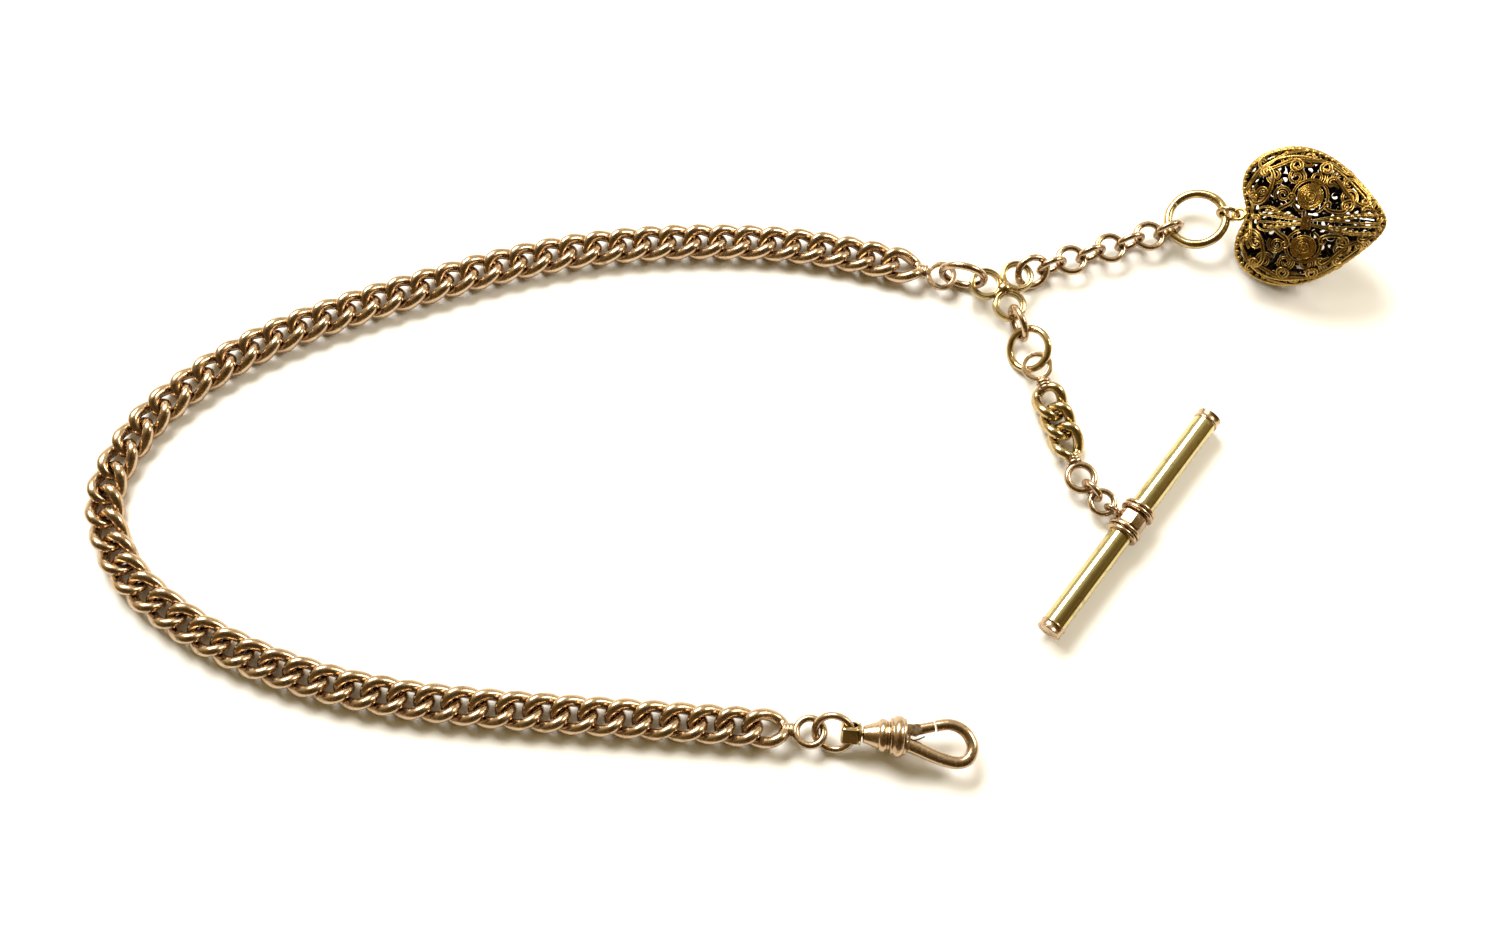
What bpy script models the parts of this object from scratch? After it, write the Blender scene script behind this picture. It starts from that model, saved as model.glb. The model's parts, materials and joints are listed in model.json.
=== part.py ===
"""Pocket watch chain of the single Albert pattern, laid out in a loop on a flat surface.

Run with: blender --background --python part.py

Metres, +Z up. The chain lies on the plane z = 0, and the middle of its footprint is the origin.
Three branches leave a flat three-ring connector: the long curb chain with its swivel clasp,
the fob drop with a hollow filigree heart, and the short curb drop with its T-bar.
Every moving piece hangs on an empty that stands on its joint's axis: the empty's own Z is the
axis. Lengths below are in millimetres and angles in degrees. A heading is a direction in plan,
anticlockwise from +X, and a roll turns a piece about its own heading, left side up.
"""

import math

import bmesh
import bpy
from mathutils import Matrix, Vector

MM = 0.001
UP = Vector((0.0, 0.0, 1.0))
MIDDLE = Vector((-0.91, -1.49, 0.0))  # middle of the footprint, as the places below are given

# Curb links: a wire oval, twisted so that the run lies flat
LINK_PITCH = 3.43
LINK_LONG = 2.55          # half length of the oval, at the middle of its wire
LINK_WIDE = 1.8           # half width
LINK_WIRE = 1.2
LINK_TWIST = 0.85         # rise of the wire where it crosses a loose neighbour
LINK_TWIST_JOINED = 0.4  # the same inside a rigid run, where the links bite and fuse
LINK_STEPS = 10
LINK_SIDES = 5
CURB_Z = 1.5

# The long chain: links in each rigid run, and its middle line from the connector to the clasp
MAIN_RUNS = [2] + [3] * 20 + [2]
MAIN_ROUTE = [
    (21.1, 25.8), (11.0, 28.4), (-2.4, 29.5), (-16.0, 29.1), (-29.0, 27.1), (-42.4, 23.3),
    (-55.1, 19.0), (-66.6, 13.9), (-75.4, 7.6), (-81.2, 0.9), (-83.8, -6.6), (-82.5, -12.8),
    (-78.5, -18.2), (-72.6, -22.9), (-59.5, -29.3), (-44.0, -33.1), (-28.3, -34.7),
    (-12.7, -35.8), (2.4, -36.9), (12.0, -37.8),
]
FITTING_REACH = 5.5       # middle of an end link to the middle of its end ring

# Round wire rings: radius at the middle of the wire, and wire thickness
RING_STEPS = 12
RING_SIDES = 5
MAIN_JUMP = (2.88, 0.85)
CLASP_RING = (2.35, 0.7)
END_RING = (1.75, 0.7)
FOB_JUMP = (2.1, 0.75)
FOB_LINK = (1.79, 0.6)
CHARM_RING = (3.78, 0.95)
CHARM_BAIL = (1.35, 0.5)
BAR_DROP_LINK = (2.2, 0.75)
BAR_DROP_RING = (2.75, 0.75)
BAR_SPLIT_RING = (1.42, 0.62)
BAR_RING = (1.55, 0.6)
WIRE_PLAY = 0.11          # slack between two cable links that are drawn out
JUMP_PLAY = 0.45          # the same where the first cable link hangs on its jump ring

# Flat rings, cut from sheet: outer radius, hole radius, thickness
END_WASHER = (2.02, 1.4, 0.55)
PETAL = (2.25, 1.45, 0.8)
PETAL_REACH = 2.55        # connector's middle to the middle of each of its rings
PETAL_CONTACT = 1.85      # petal's middle to the middle of its band
STUD_RADIUS = 0.85
LUG = (0.55, 2.0, 1.1)    # block on an end ring that faces the end link: long, wide, high

TREFOIL = (34.7, 22.2, 2.3)
TREFOIL_HEADINGS = {"main": 164.0, "fob": 44.0, "bar": -76.0}

# Fob drop
FOB_LINKS = 7
FOB_Z = 2.12
CHARM_RING_AT = (61.5, 32.3, 2.93)
CHARM_RISE = 15.0         # the heart's bail lifts this side of the charm ring
CHARM_HEADING = 2.0       # where on the charm ring the bail hangs
BAIL_HEADING = -20.0

# Puffed heart, two domed shells that meet at a seam
HEART_LONG = 19.0
HEART_WIDE = 18.8
HEART_THICK = 9.4
HEART_WALL = 0.9
HEART_SEAM = 0.3
HEART_HEADING = -12.0
HEART_TILT = 14.0         # tip raised
HEART_ROLL = 35.0         # it lies over on one lobe, its front turned to -Y
HEART_Z = 7.5
HEART_STEPS = 24
HEART_RINGS = 4
HEART_EYE = (0.8, 0.42)
HEART_EYE_TAIL = 0.45

# T-bar drop
BAR_CURB_PITCH = 2.9
BAR_CURB_LONG = 2.2
BAR_CURB_WIDE = 1.7
BAR_CURB_WIRE = 1.08
BAR_CURB_HEADING = -72.3
BAR_FITTING_REACH = 5.2
BAR_UPPER_RING_AT = (38.6, 11.1, 2.0)
BAR_RING_AT = (46.1, -7.7)
BAR_MIDDLE = (49.45, -10.45, 2.25)
BAR_HEADING = 51.4
BAR_HALF = 18.5           # half of the whole bar, caps included
BAR_RADIUS = 1.5
BAR_BORE = 1.15
CAP_RADIUS = 1.65
CAP_LENGTH = 1.2
CAP_PLUG = 0.8
COLLAR_BORE = 1.68
COLLAR_RADIUS = 1.95
COLLAR_FLANGE = 2.2
COLLAR_HALF = 2.2
COLLAR_EYE = (0.95, 0.5)
TURN_STEPS = 14

# Clasp, measured along its axis from the eye's outer end
CLASP_AT = (11.5, -37.5, 2.65)
CLASP_HEADING = -4.2
CLASP_ROLL = 36.0
EYE_BLOCK = (2.3, 1.8, 2.1)
EYE_BORE_AT = 1.38
EYE_BORE = 0.78
SHAFT_RADIUS = 0.42
SHAFT_HEAD = (5.0, 5.7, 0.9)
BARREL_END = 8.2
HOOK_WIRE = 1.3
HOOK_START = 8.5
GATE_LINE = [(8.65, 0.78), (11.45, 1.5)]
GATE_PIN_AT = (9.25, 0.93)
GATE_PIN = 0.22
GATE_PIN_BORE = 0.32
GATE_PIN_HALF = 1.05
CHEEK = (0.7, 1.05)       # inner and outer height of the two cheeks that hold the gate pin

# Wire of the hook in the clasp's plane, from the gate's seat round to the barrel: along, sideways
HOOK_LOOP = [
    (11.75, 1.6), (12.7, 1.85), (13.7, 1.9), (14.8, 1.55), (15.7, 0.8), (16.3, -0.4), (16.2, -1.5),
    (15.6, -2.35), (14.5, -2.7), (13.0, -2.5), (11.6, -2.1), (10.1, -1.55), (9.0, -1.15),
]

ROSE_GOLD = ("rose_gold_fill", (0.80, 0.56, 0.36, 1.0), 0.24)
YELLOW_GOLD = ("yellow_gold_fill", (0.83, 0.64, 0.33, 1.0), 0.2)
OLD_GOLD = ("antiqued_gilt", (0.55, 0.40, 0.15, 1.0), 0.38)
SPRING_STEEL = ("spring_steel", (0.55, 0.55, 0.56, 1.0), 0.35)


# ---------------------------------------------------------------- objects

def clear_scene():
    for thing in list(bpy.data.objects):
        bpy.data.objects.remove(thing, do_unlink=True)


def material(finish):
    name, colour, roughness = finish
    made = bpy.data.materials.get(name)
    if made:
        return made
    made = bpy.data.materials.new(name)
    made.use_nodes = True
    shader = made.node_tree.nodes["Principled BSDF"]
    shader.inputs["Base Color"].default_value = colour
    shader.inputs["Metallic"].default_value = 1.0
    shader.inputs["Roughness"].default_value = roughness
    made.diffuse_color = colour
    return made


def put(thing, world, parent):
    """Stand an object at its world matrix, whatever its parent's own matrix is."""
    bpy.context.scene.collection.objects.link(thing)
    if parent is not None:
        thing.parent = parent
        thing.matrix_parent_inverse = parent.matrix_basis.inverted()
    thing.matrix_basis = world
    return thing


def pivot(name, parent, where, axis=UP):
    """An empty on a joint: it stands at the joint, and its own Z is the joint's axis."""
    turn = UP.rotation_difference(Vector(axis).normalized()).to_matrix().to_4x4()
    world = Matrix.Translation((Vector(where) - MIDDLE) * MM) @ turn
    return put(bpy.data.objects.new("pivot_" + name, None), world, parent)


def piece(name, shape, place, parent, finish):
    """One sub-part, from a bmesh or a mesh in millimetres that is drawn in its own place."""
    mesh = to_mesh(shape) if isinstance(shape, bmesh.types.BMesh) else shape
    mesh.name = name
    mesh.transform(Matrix.Scale(MM, 4))
    mesh.materials.clear()
    mesh.materials.append(material(finish))
    mesh.shade_smooth()
    mesh.set_sharp_from_angle(angle=math.radians(40))
    world = place.copy()
    world.translation = (place.translation - MIDDLE) * MM
    return put(bpy.data.objects.new(name, mesh), world, parent)


def to_mesh(bm):
    mesh = bpy.data.meshes.new("shape")
    bm.to_mesh(mesh)
    bm.free()
    return mesh


def frame(where, heading=0.0, roll=0.0, rise=0.0):
    """A place: its own X turned to the heading and raised by the rise, then rolled about it."""
    turn = Matrix.Rotation(math.radians(heading), 4, "Z")
    lift = Matrix.Rotation(math.radians(-rise), 4, "Y")
    lean = Matrix.Rotation(math.radians(roll), 4, "X")
    return Matrix.Translation(Vector(where)) @ turn @ lift @ lean


def along(heading):
    return Vector((math.cos(math.radians(heading)), math.sin(math.radians(heading)), 0.0))


def sideways(heading):
    return along(heading + 90.0)


def heading_of(step):
    return math.degrees(math.atan2(step.y, step.x))


def zigzag(step):
    """Signs +, +, -, -: joints at the same limit then fold a run to and fro, and don't coil it."""
    return 1.0 if step % 4 < 2 else -1.0


# ---------------------------------------------------------------- shapes, in millimetres

def circle(radius, steps):
    turns = [2 * math.pi * k / steps for k in range(steps)]
    return [Vector((radius * math.cos(t), radius * math.sin(t), 0.0)) for t in turns]


def round_section(diameter, sides=RING_SIDES):
    return [(p.x, p.y) for p in circle(diameter / 2, sides)]


def box_section(wide, high):
    return [(-wide / 2, -high / 2), (wide / 2, -high / 2), (wide / 2, high / 2), (-wide / 2, high / 2)]


def sweep(path, section, closed=True):
    """Carry a section (sideways, up) along a path; an open sweep gets a flat cap at each end."""
    bm = bmesh.new()
    count = len(path)
    sides = len(section)
    loops = []
    for k, point in enumerate(path):
        ahead = path[(k + 1) % count] if closed or k < count - 1 else point
        behind = path[k - 1] if closed or k > 0 else point
        run = (ahead - behind).normalized()
        side = run.cross(UP).normalized()
        up = side.cross(run)
        loops.append([bm.verts.new(point + side * s + up * u) for s, u in section])
    for k in range(count if closed else count - 1):
        near, far = loops[k], loops[(k + 1) % count]
        for j in range(sides):
            i = (j + 1) % sides
            bm.faces.new((near[j], far[j], far[i], near[i]))
    if not closed:
        bm.faces.new(loops[0])
        bm.faces.new(loops[-1][::-1])
    bmesh.ops.recalc_face_normals(bm, faces=bm.faces)
    return bm


def wire_ring(size, steps=RING_STEPS):
    radius, wire = size
    return sweep(circle(radius, steps), round_section(wire))


def washer(size, steps=RING_STEPS):
    outer, hole, thick = size
    return sweep(circle((outer + hole) / 2, steps), box_section(outer - hole, thick))


def turned(profile, steps=TURN_STEPS, closed=False):
    """Turn (along, radius) points about X. An open profile gets a flat disc at each end."""
    bm = bmesh.new()
    loops = [[bm.verts.new((x, p.x, p.y)) for p in circle(r, steps)] for x, r in profile]
    pairs = list(zip(loops, loops[1:] + loops[:1]))
    for near, far in pairs if closed else pairs[:-1]:
        for j in range(steps):
            i = (j + 1) % steps
            bm.faces.new((near[j], near[i], far[i], far[j]))
    if not closed:
        bm.faces.new(loops[0][::-1])
        bm.faces.new(loops[-1])
    bmesh.ops.recalc_face_normals(bm, faces=bm.faces)
    return bm


def block(low, high):
    bm = bmesh.new()
    bmesh.ops.create_cube(bm, size=1.0)
    low = Vector(low)
    high = Vector(high)
    bmesh.ops.scale(bm, vec=high - low, verts=bm.verts)
    bmesh.ops.translate(bm, vec=(low + high) / 2, verts=bm.verts)
    return bm


def post(x, y, radius, low, high, steps=10):
    """An upright pin."""
    stand = Matrix.Translation((x, y, 0.0)) @ Matrix.Rotation(math.radians(-90), 4, "Y")
    return moved(turned([(low, radius), (high, radius)], steps), stand)


def moved(bm, matrix):
    bmesh.ops.transform(bm, matrix=matrix, verts=bm.verts)
    return bm


def combined(first, others, operation="UNION"):
    """Boolean of one shape with others, worked out on the spot into a single mesh."""
    helpers = []
    for shape in [first] + others:
        mesh = to_mesh(shape) if isinstance(shape, bmesh.types.BMesh) else shape
        helper = bpy.data.objects.new("helper", mesh)
        bpy.context.scene.collection.objects.link(helper)
        helpers.append(helper)
    for tool in helpers[1:]:
        step = helpers[0].modifiers.new("step", "BOOLEAN")
        step.operation = operation
        step.object = tool
    graph = bpy.context.evaluated_depsgraph_get()
    mesh = bpy.data.meshes.new_from_object(helpers[0].evaluated_get(graph))
    for helper in helpers:
        bpy.data.objects.remove(helper, do_unlink=True)
    return mesh


# ---------------------------------------------------------------- connector

def petal_middle(branch):
    return Vector(TREFOIL) + along(TREFOIL_HEADINGS[branch]) * PETAL_REACH


def build_connector():
    """Three flat rings and a domed stud in one casting. It is the part's root."""
    root = pivot("root", None, TREFOIL)
    petals = []
    for heading in TREFOIL_HEADINGS.values():
        petals.append(moved(washer(PETAL), frame(along(heading) * PETAL_REACH, heading)))
    stud = post(0.0, 0.0, STUD_RADIUS, -PETAL[2] / 4, PETAL[2])
    piece("trefoil_connector", combined(petals[0], petals[1:] + [stud]), frame(TREFOIL), root, YELLOW_GOLD)
    return root


# ---------------------------------------------------------------- curb links

def curb_link(size, rise_behind, rise_ahead):
    half_long, half_wide, wire = size
    path = []
    for k in range(LINK_STEPS):
        t = 2 * math.pi * (k + 0.5) / LINK_STEPS
        rise = rise_ahead if math.cos(t) > 0 else rise_behind
        path.append(Vector((half_long * math.cos(t), half_wide * math.sin(t), -rise * math.sin(2 * t))))
    return sweep(path, round_section(wire, LINK_SIDES))


def curb_run(places):
    """Neighbouring links that bite into each other and fuse, drawn in the first link's place."""
    home = places[0].inverted()
    links = []
    for k, place in enumerate(places):
        behind = LINK_TWIST if k == 0 else LINK_TWIST_JOINED
        ahead = LINK_TWIST if k == len(places) - 1 else LINK_TWIST_JOINED
        link = curb_link((LINK_LONG, LINK_WIDE, LINK_WIRE), behind, ahead)
        links.append(moved(link, home @ place))
    return combined(links[0], links[1:])


def end_fitting(ring, outer):
    """An end ring at the origin, with a lug on its -X side that faces the end link."""
    long, wide, high = LUG
    lug = block((-outer - 0.05, -wide / 2, -high / 2), (long - outer, wide / 2, high / 2))
    return combined(ring, [lug])


def smooth_route(points, per_span=24):
    """A Catmull-Rom curve through the points, as many short steps."""
    inner = [Vector(p) for p in points]
    ends = [2 * inner[0] - inner[1]] + inner + [2 * inner[-1] - inner[-2]]
    found = []
    for a, b, c, d in zip(ends, ends[1:], ends[2:], ends[3:]):
        for k in range(per_span):
            t = k / per_span
            bend = (2 * a - 5 * b + 4 * c - d) * t ** 2 + (3 * b - a - 3 * c + d) * t ** 3
            found.append(0.5 * (2 * b + (c - a) * t + bend))
    return found + [inner[-1]]


def stations(route, pitch, count):
    """Places a pitch apart along the route: (point, heading)."""
    places = []
    travelled = 0.0
    for a, b in zip(route, route[1:]):
        step = (b - a).length
        while len(places) < count and travelled + step >= pitch * len(places):
            spot = a.lerp(b, (pitch * len(places) - travelled) / step)
            places.append((spot, heading_of(b - a)))
        travelled += step
    return places


def build_main_chain(root):
    """The jump ring and the long curb chain. Returns the last pivot and the last ring's place."""
    petal = petal_middle("main")
    spots = stations(smooth_route(MAIN_ROUTE), LINK_PITCH, sum(MAIN_RUNS))
    places = [frame((*spot, CURB_Z), turn) for spot, turn in spots]
    first, turn = spots[0]
    ring_at = first.to_3d() - along(turn) * FITTING_REACH
    ring_at.z = CURB_Z + 0.1

    heading = heading_of(ring_at - petal)
    jump_at = (petal + ring_at) / 2 + along(heading) * 0.25
    jump_at.z = MAIN_JUMP[0] + MAIN_JUMP[1] / 2
    hinge = pivot("main_jump_ring", root, petal + along(heading) * PETAL_CONTACT, sideways(heading))
    piece("main_jump_ring", wire_ring(MAIN_JUMP, 16), frame(jump_at, heading, 90.0), hinge, ROSE_GOLD)

    contact = jump_at + along(heading) * (MAIN_JUMP[0] - 0.4)
    hinge = pivot("curb_run_01", hinge, (*contact.xy, ring_at.z))
    piece("upper_end_ring", end_fitting(washer(END_WASHER), END_WASHER[0]), frame(ring_at, turn + 180.0),
          hinge, ROSE_GOLD)

    start = 0
    for number, length in enumerate(MAIN_RUNS):
        name = f"curb_run_{number + 1:02d}"
        if number:
            middle = (spots[start - 1][0] + spots[start][0]) / 2
            level = sideways((spots[start - 1][1] + spots[start][1]) / 2)
            axis = UP if number % 2 else level
            hinge = pivot(name, hinge, (*middle, CURB_Z), axis * zigzag(number))
        piece(name, curb_run(places[start:start + length]), places[start], hinge, ROSE_GOLD)
        start += length

    last, turn = spots[-1]
    ring_at = last.to_3d() + along(turn) * FITTING_REACH
    ring_at.z = CURB_Z + 0.2
    piece("lower_end_ring", end_fitting(wire_ring(END_RING), sum(END_RING) - END_RING[1] / 2),
          frame(ring_at, turn, -8.0), hinge, ROSE_GOLD)
    return hinge, ring_at


# ---------------------------------------------------------------- swivel clasp

def build_clasp(hinge, end_ring_at):
    clasp = frame(CLASP_AT, CLASP_HEADING)
    bore_at = clasp @ Vector((EYE_BORE_AT, 0.0, 0.0))
    heading = heading_of(bore_at - end_ring_at)
    rise = math.degrees(math.asin((bore_at.z - end_ring_at.z) / (2 * CLASP_RING[0])))
    tilt = frame((0.0, 0.0, 0.0), heading, 0.0, rise)
    ring_at = bore_at - tilt @ Vector((CLASP_RING[0] - 0.1, 0.0, 0.0))
    contact = end_ring_at + along(heading) * END_RING[0]
    hinge = pivot("clasp_ring", hinge, contact)
    piece("clasp_ring", wire_ring(CLASP_RING, 16), frame(ring_at, heading, CLASP_ROLL, rise), hinge,
          ROSE_GOLD)

    rolled = clasp @ Matrix.Rotation(math.radians(CLASP_ROLL), 4, "X")
    hinge = pivot("swivel_eye", hinge, bore_at, rolled.to_3x3() @ Vector((0.0, 1.0, 0.0)))
    long, wide, high = EYE_BLOCK
    lump = block((0.0, -wide / 2, -high / 2), (long, wide / 2, high / 2))
    across = Matrix.Translation((EYE_BORE_AT, 0.0, 0.0)) @ Matrix.Rotation(math.radians(90), 4, "Z")
    bore = moved(turned([(-wide, EYE_BORE), (wide, EYE_BORE)], 10), across)
    head_from, head_to, head = SHAFT_HEAD
    shaft = turned([
        (long - 0.1, 1.3), (long + 0.2, 1.3), (long + 0.2, SHAFT_RADIUS), (head_from, SHAFT_RADIUS),
        (head_from, head), (head_to, head),
    ], 12)
    eye = combined(combined(lump, [bore], "DIFFERENCE"), [shaft])
    piece("swivel_eye", eye, rolled, hinge, ROSE_GOLD)

    hinge = pivot("clasp", hinge, clasp @ Vector((BARREL_END, 0.0, 0.0)), along(CLASP_HEADING))
    barrel = turned([
        (BARREL_END, 1.6), (7.85, 2.35), (7.1, 2.6), (6.4, 2.35), (6.0, 1.9), (5.7, 1.9), (5.2, 2.0), (4.7, 1.9),
        (4.5, 1.6), (2.8, 1.0), (2.8, 0.72), (4.7, 0.72), (4.7, 1.25), (6.0, 1.25),
    ])
    piece("swivel_barrel", barrel, clasp, hinge, ROSE_GOLD)

    wire = sweep([Vector((x, y, 0.0)) for x, y in HOOK_LOOP], round_section(HOOK_WIRE, 6), closed=False)
    low, high = CHEEK
    base = block((HOOK_START, -1.6, -high), (HOOK_START + 0.45, 1.3, high))
    cheeks = block((HOOK_START, 0.25, -high), (GATE_PIN_AT[0] + 0.6, 1.5, high))
    pocket = block((HOOK_START - 0.5, 0.1, -low), (HOOK_START + 2.0, 2.0, low))
    pin_bore = post(*GATE_PIN_AT, GATE_PIN_BORE, -2.0, 2.0)
    hook = combined(combined(base, [cheeks]), [pocket, pin_bore], "DIFFERENCE")
    piece("clasp_hook", combined(hook, [wire]), clasp, hinge, ROSE_GOLD)
    piece("gate_pin", post(*GATE_PIN_AT, GATE_PIN, -GATE_PIN_HALF, GATE_PIN_HALF), clasp, hinge, SPRING_STEEL)
    leaf_line = [Vector((9.1, -0.35, 0.0)), Vector((9.7, -0.15, 0.0)), Vector((10.4, 0.22, 0.0))]
    piece("gate_spring", sweep(leaf_line, box_section(0.15, 0.6), closed=False), clasp, hinge, SPRING_STEEL)

    hinge = pivot("clasp_gate", hinge, clasp @ Vector((*GATE_PIN_AT, 0.0)), -UP)
    bar = sweep([Vector((x, y, 0.0)) for x, y in GATE_LINE], box_section(1.0, 1.0), closed=False)
    gate = combined(bar, [post(*GATE_PIN_AT, GATE_PIN_BORE, -2.0, 2.0)], "DIFFERENCE")
    piece("clasp_gate", gate, clasp, hinge, ROSE_GOLD)


# ---------------------------------------------------------------- fob drop

def heart_outline():
    """The seam's outline: the cleft at -X, the tip at +X."""
    raw = []
    for k in range(HEART_STEPS):
        t = 2 * math.pi * k / HEART_STEPS
        x = -(13 * math.cos(t) - 3 * math.cos(2 * t) - 1.2 * math.cos(3 * t) - 0.6 * math.cos(4 * t))
        raw.append((x, 0.4 * math.sin(t) + 0.6 * math.sin(t) ** 3))
    low = min(x for x, _ in raw)
    scale = HEART_LONG / (max(x for x, _ in raw) - low)
    return [Vector(((x - low) * scale - HEART_LONG / 2, -y * HEART_WIDE / 2, 0.0)) for x, y in raw]


def heart_shell(side):
    """One half: a dome outside and a smaller dome inside, joined along the seam. side is 1 or -1."""
    bm = bmesh.new()
    outline = heart_outline()
    half = HEART_THICK / 2 - HEART_SEAM / 2
    stacks = []
    for inset, rise in ((1.0, half), (1.0 - 2 * HEART_WALL / HEART_WIDE, half - HEART_WALL)):
        stack = []
        for k in range(HEART_RINGS):
            share = 1.0 - (k / HEART_RINGS) ** 1.6
            z = side * (HEART_SEAM / 2 + rise * math.sqrt(1.0 - share ** 2))
            stack.append([bm.verts.new((p.x * share * inset, p.y * share * inset, z)) for p in outline])
        peak = bm.verts.new((0.0, 0.0, side * (HEART_SEAM / 2 + rise)))
        for near, far in zip(stack, stack[1:]):
            for j in range(HEART_STEPS):
                i = (j + 1) % HEART_STEPS
                bm.faces.new((near[j], near[i], far[i], far[j]))
        for j in range(HEART_STEPS):
            bm.faces.new((stack[-1][j], stack[-1][(j + 1) % HEART_STEPS], peak))
        stacks.append(stack)
    outer, inner = stacks[0][0], stacks[1][0]
    for j in range(HEART_STEPS):
        i = (j + 1) % HEART_STEPS
        bm.faces.new((outer[j], outer[i], inner[i], inner[j]))
    bmesh.ops.recalc_face_normals(bm, faces=bm.faces)
    return bm


def build_heart(hinge, charm):
    """The bail, and the heart that hangs on it by its eye. charm is the charm ring's place."""
    onward = along(BAIL_HEADING)
    wire_at = charm @ Vector((CHARM_RING[0], 0.0, 0.0))
    bail_at = wire_at + onward * 0.24 + UP * 0.45
    hinge = pivot("heart_bail", hinge, wire_at, -sideways(BAIL_HEADING))
    piece("heart_bail", wire_ring(CHARM_BAIL, 12), frame(bail_at, BAIL_HEADING, 90.0), hinge, YELLOW_GOLD)

    forward = along(HEART_HEADING)
    eye_wire_at = bail_at + onward * 0.5 + UP * 0.62
    eye_at = eye_wire_at + forward * HEART_EYE[0]
    hinge = pivot("heart", hinge, eye_wire_at)
    cleft = min(p.x for p in heart_outline() if abs(p.y) < 0.01)
    level = math.cos(math.radians(HEART_TILT))
    middle = eye_at + forward * (HEART_EYE[0] + HEART_EYE_TAIL + 0.15 - cleft * level)
    heart = frame((middle.x, middle.y, HEART_Z), HEART_HEADING, HEART_ROLL, HEART_TILT)
    piece("heart_front", heart_shell(1.0), heart, hinge, OLD_GOLD)
    piece("heart_back", heart_shell(-1.0), heart, hinge, OLD_GOLD)
    stub = block((HEART_EYE[0] - 0.1, -0.3, -0.3), (HEART_EYE[0] + HEART_EYE_TAIL, 0.3, 0.3))
    eye = combined(wire_ring(HEART_EYE, 12), [stub])
    piece("heart_eye", eye, frame(eye_at, HEART_HEADING), hinge, OLD_GOLD)


def build_fob_drop(root):
    petal = petal_middle("fob")
    charm_at = Vector(CHARM_RING_AT)
    heading = 20.5
    at = petal + along(heading) * 2.35
    at.z = 2.05
    hinge = pivot("fob_jump_ring", root, petal + along(heading) * PETAL_CONTACT, sideways(heading))
    piece("fob_jump_ring", wire_ring(FOB_JUMP), frame(at, heading, 50.0), hinge, ROSE_GOLD)

    reach, wire = FOB_JUMP
    play = JUMP_PLAY
    for number in range(1, FOB_LINKS + 1):
        heading = heading_of(charm_at - at)
        step = along(heading)
        contact = at + step * reach
        at = contact + step * (FOB_LINK[0] - (wire + FOB_LINK[1]) / 2 - play)
        at.z = FOB_Z
        contact.z = FOB_Z
        standing = number % 2 == 1
        axis = sideways(heading) if standing else UP
        hinge = pivot(f"fob_link_{number}", hinge, contact, axis * zigzag(number))
        place = frame(at, heading, 90.0 if standing else 0.0)
        piece(f"fob_link_{number}", wire_ring(FOB_LINK), place, hinge, ROSE_GOLD)
        reach, wire = FOB_LINK
        play = WIRE_PLAY

    heading = heading_of(charm_at - at)
    charm = frame(charm_at, CHARM_HEADING, 0.0, CHARM_RISE)
    hinge = pivot("charm_ring", hinge, at + along(heading) * reach)
    piece("charm_ring", wire_ring(CHARM_RING, 20), charm, hinge, YELLOW_GOLD)
    build_heart(hinge, charm)


# ---------------------------------------------------------------- T-bar drop

def build_bar(hinge, ring_at):
    """The bar with its collar and caps, hung on the bar ring by the collar's eye."""
    middle = Vector(BAR_MIDDLE)
    bar = frame(middle, BAR_HEADING)
    back = (ring_at - middle).normalized()
    hinge = pivot("watch_bar", hinge, ring_at - Vector((back.x, back.y, 0.0)) * BAR_RING[0],
                  along(BAR_HEADING))
    radius, flange, half = COLLAR_RADIUS, COLLAR_FLANGE, COLLAR_HALF
    collar = turned([
        (-half, COLLAR_BORE), (-half, flange), (1.0 - half, flange), (1.0 - half, radius),
        (half - 1.0, radius), (half - 1.0, flange), (half, flange), (half, COLLAR_BORE),
    ], closed=True)
    upright = Matrix.Rotation(math.radians(90), 4, "Y")
    eye = moved(wire_ring(COLLAR_EYE, 12), Matrix.Translation((0.0, 2.75, ring_at.z - middle.z)) @ upright)
    bore = turned([(-half - 1.0, COLLAR_BORE), (half + 1.0, COLLAR_BORE)])
    collar = combined(combined(collar, [eye]), [bore], "DIFFERENCE")
    piece("bar_collar", collar, bar, hinge, ROSE_GOLD)

    tube_half = BAR_HALF - CAP_LENGTH - 0.2
    tube = turned([
        (-tube_half, BAR_BORE), (-tube_half, BAR_RADIUS), (tube_half, BAR_RADIUS), (tube_half, BAR_BORE),
    ], closed=True)
    piece("bar_tube", tube, bar, hinge, YELLOW_GOLD)
    inner = BAR_HALF - CAP_LENGTH
    for name, side in (("bar_cap_upper", 1.0), ("bar_cap_lower", -1.0)):
        cap = turned([
            (side * (inner - 1.6), CAP_PLUG), (side * inner, CAP_PLUG), (side * inner, CAP_RADIUS),
            (side * (BAR_HALF - 0.3), CAP_RADIUS), (side * BAR_HALF, CAP_RADIUS - 0.3),
        ])
        piece(name, cap, bar, hinge, ROSE_GOLD)


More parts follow.
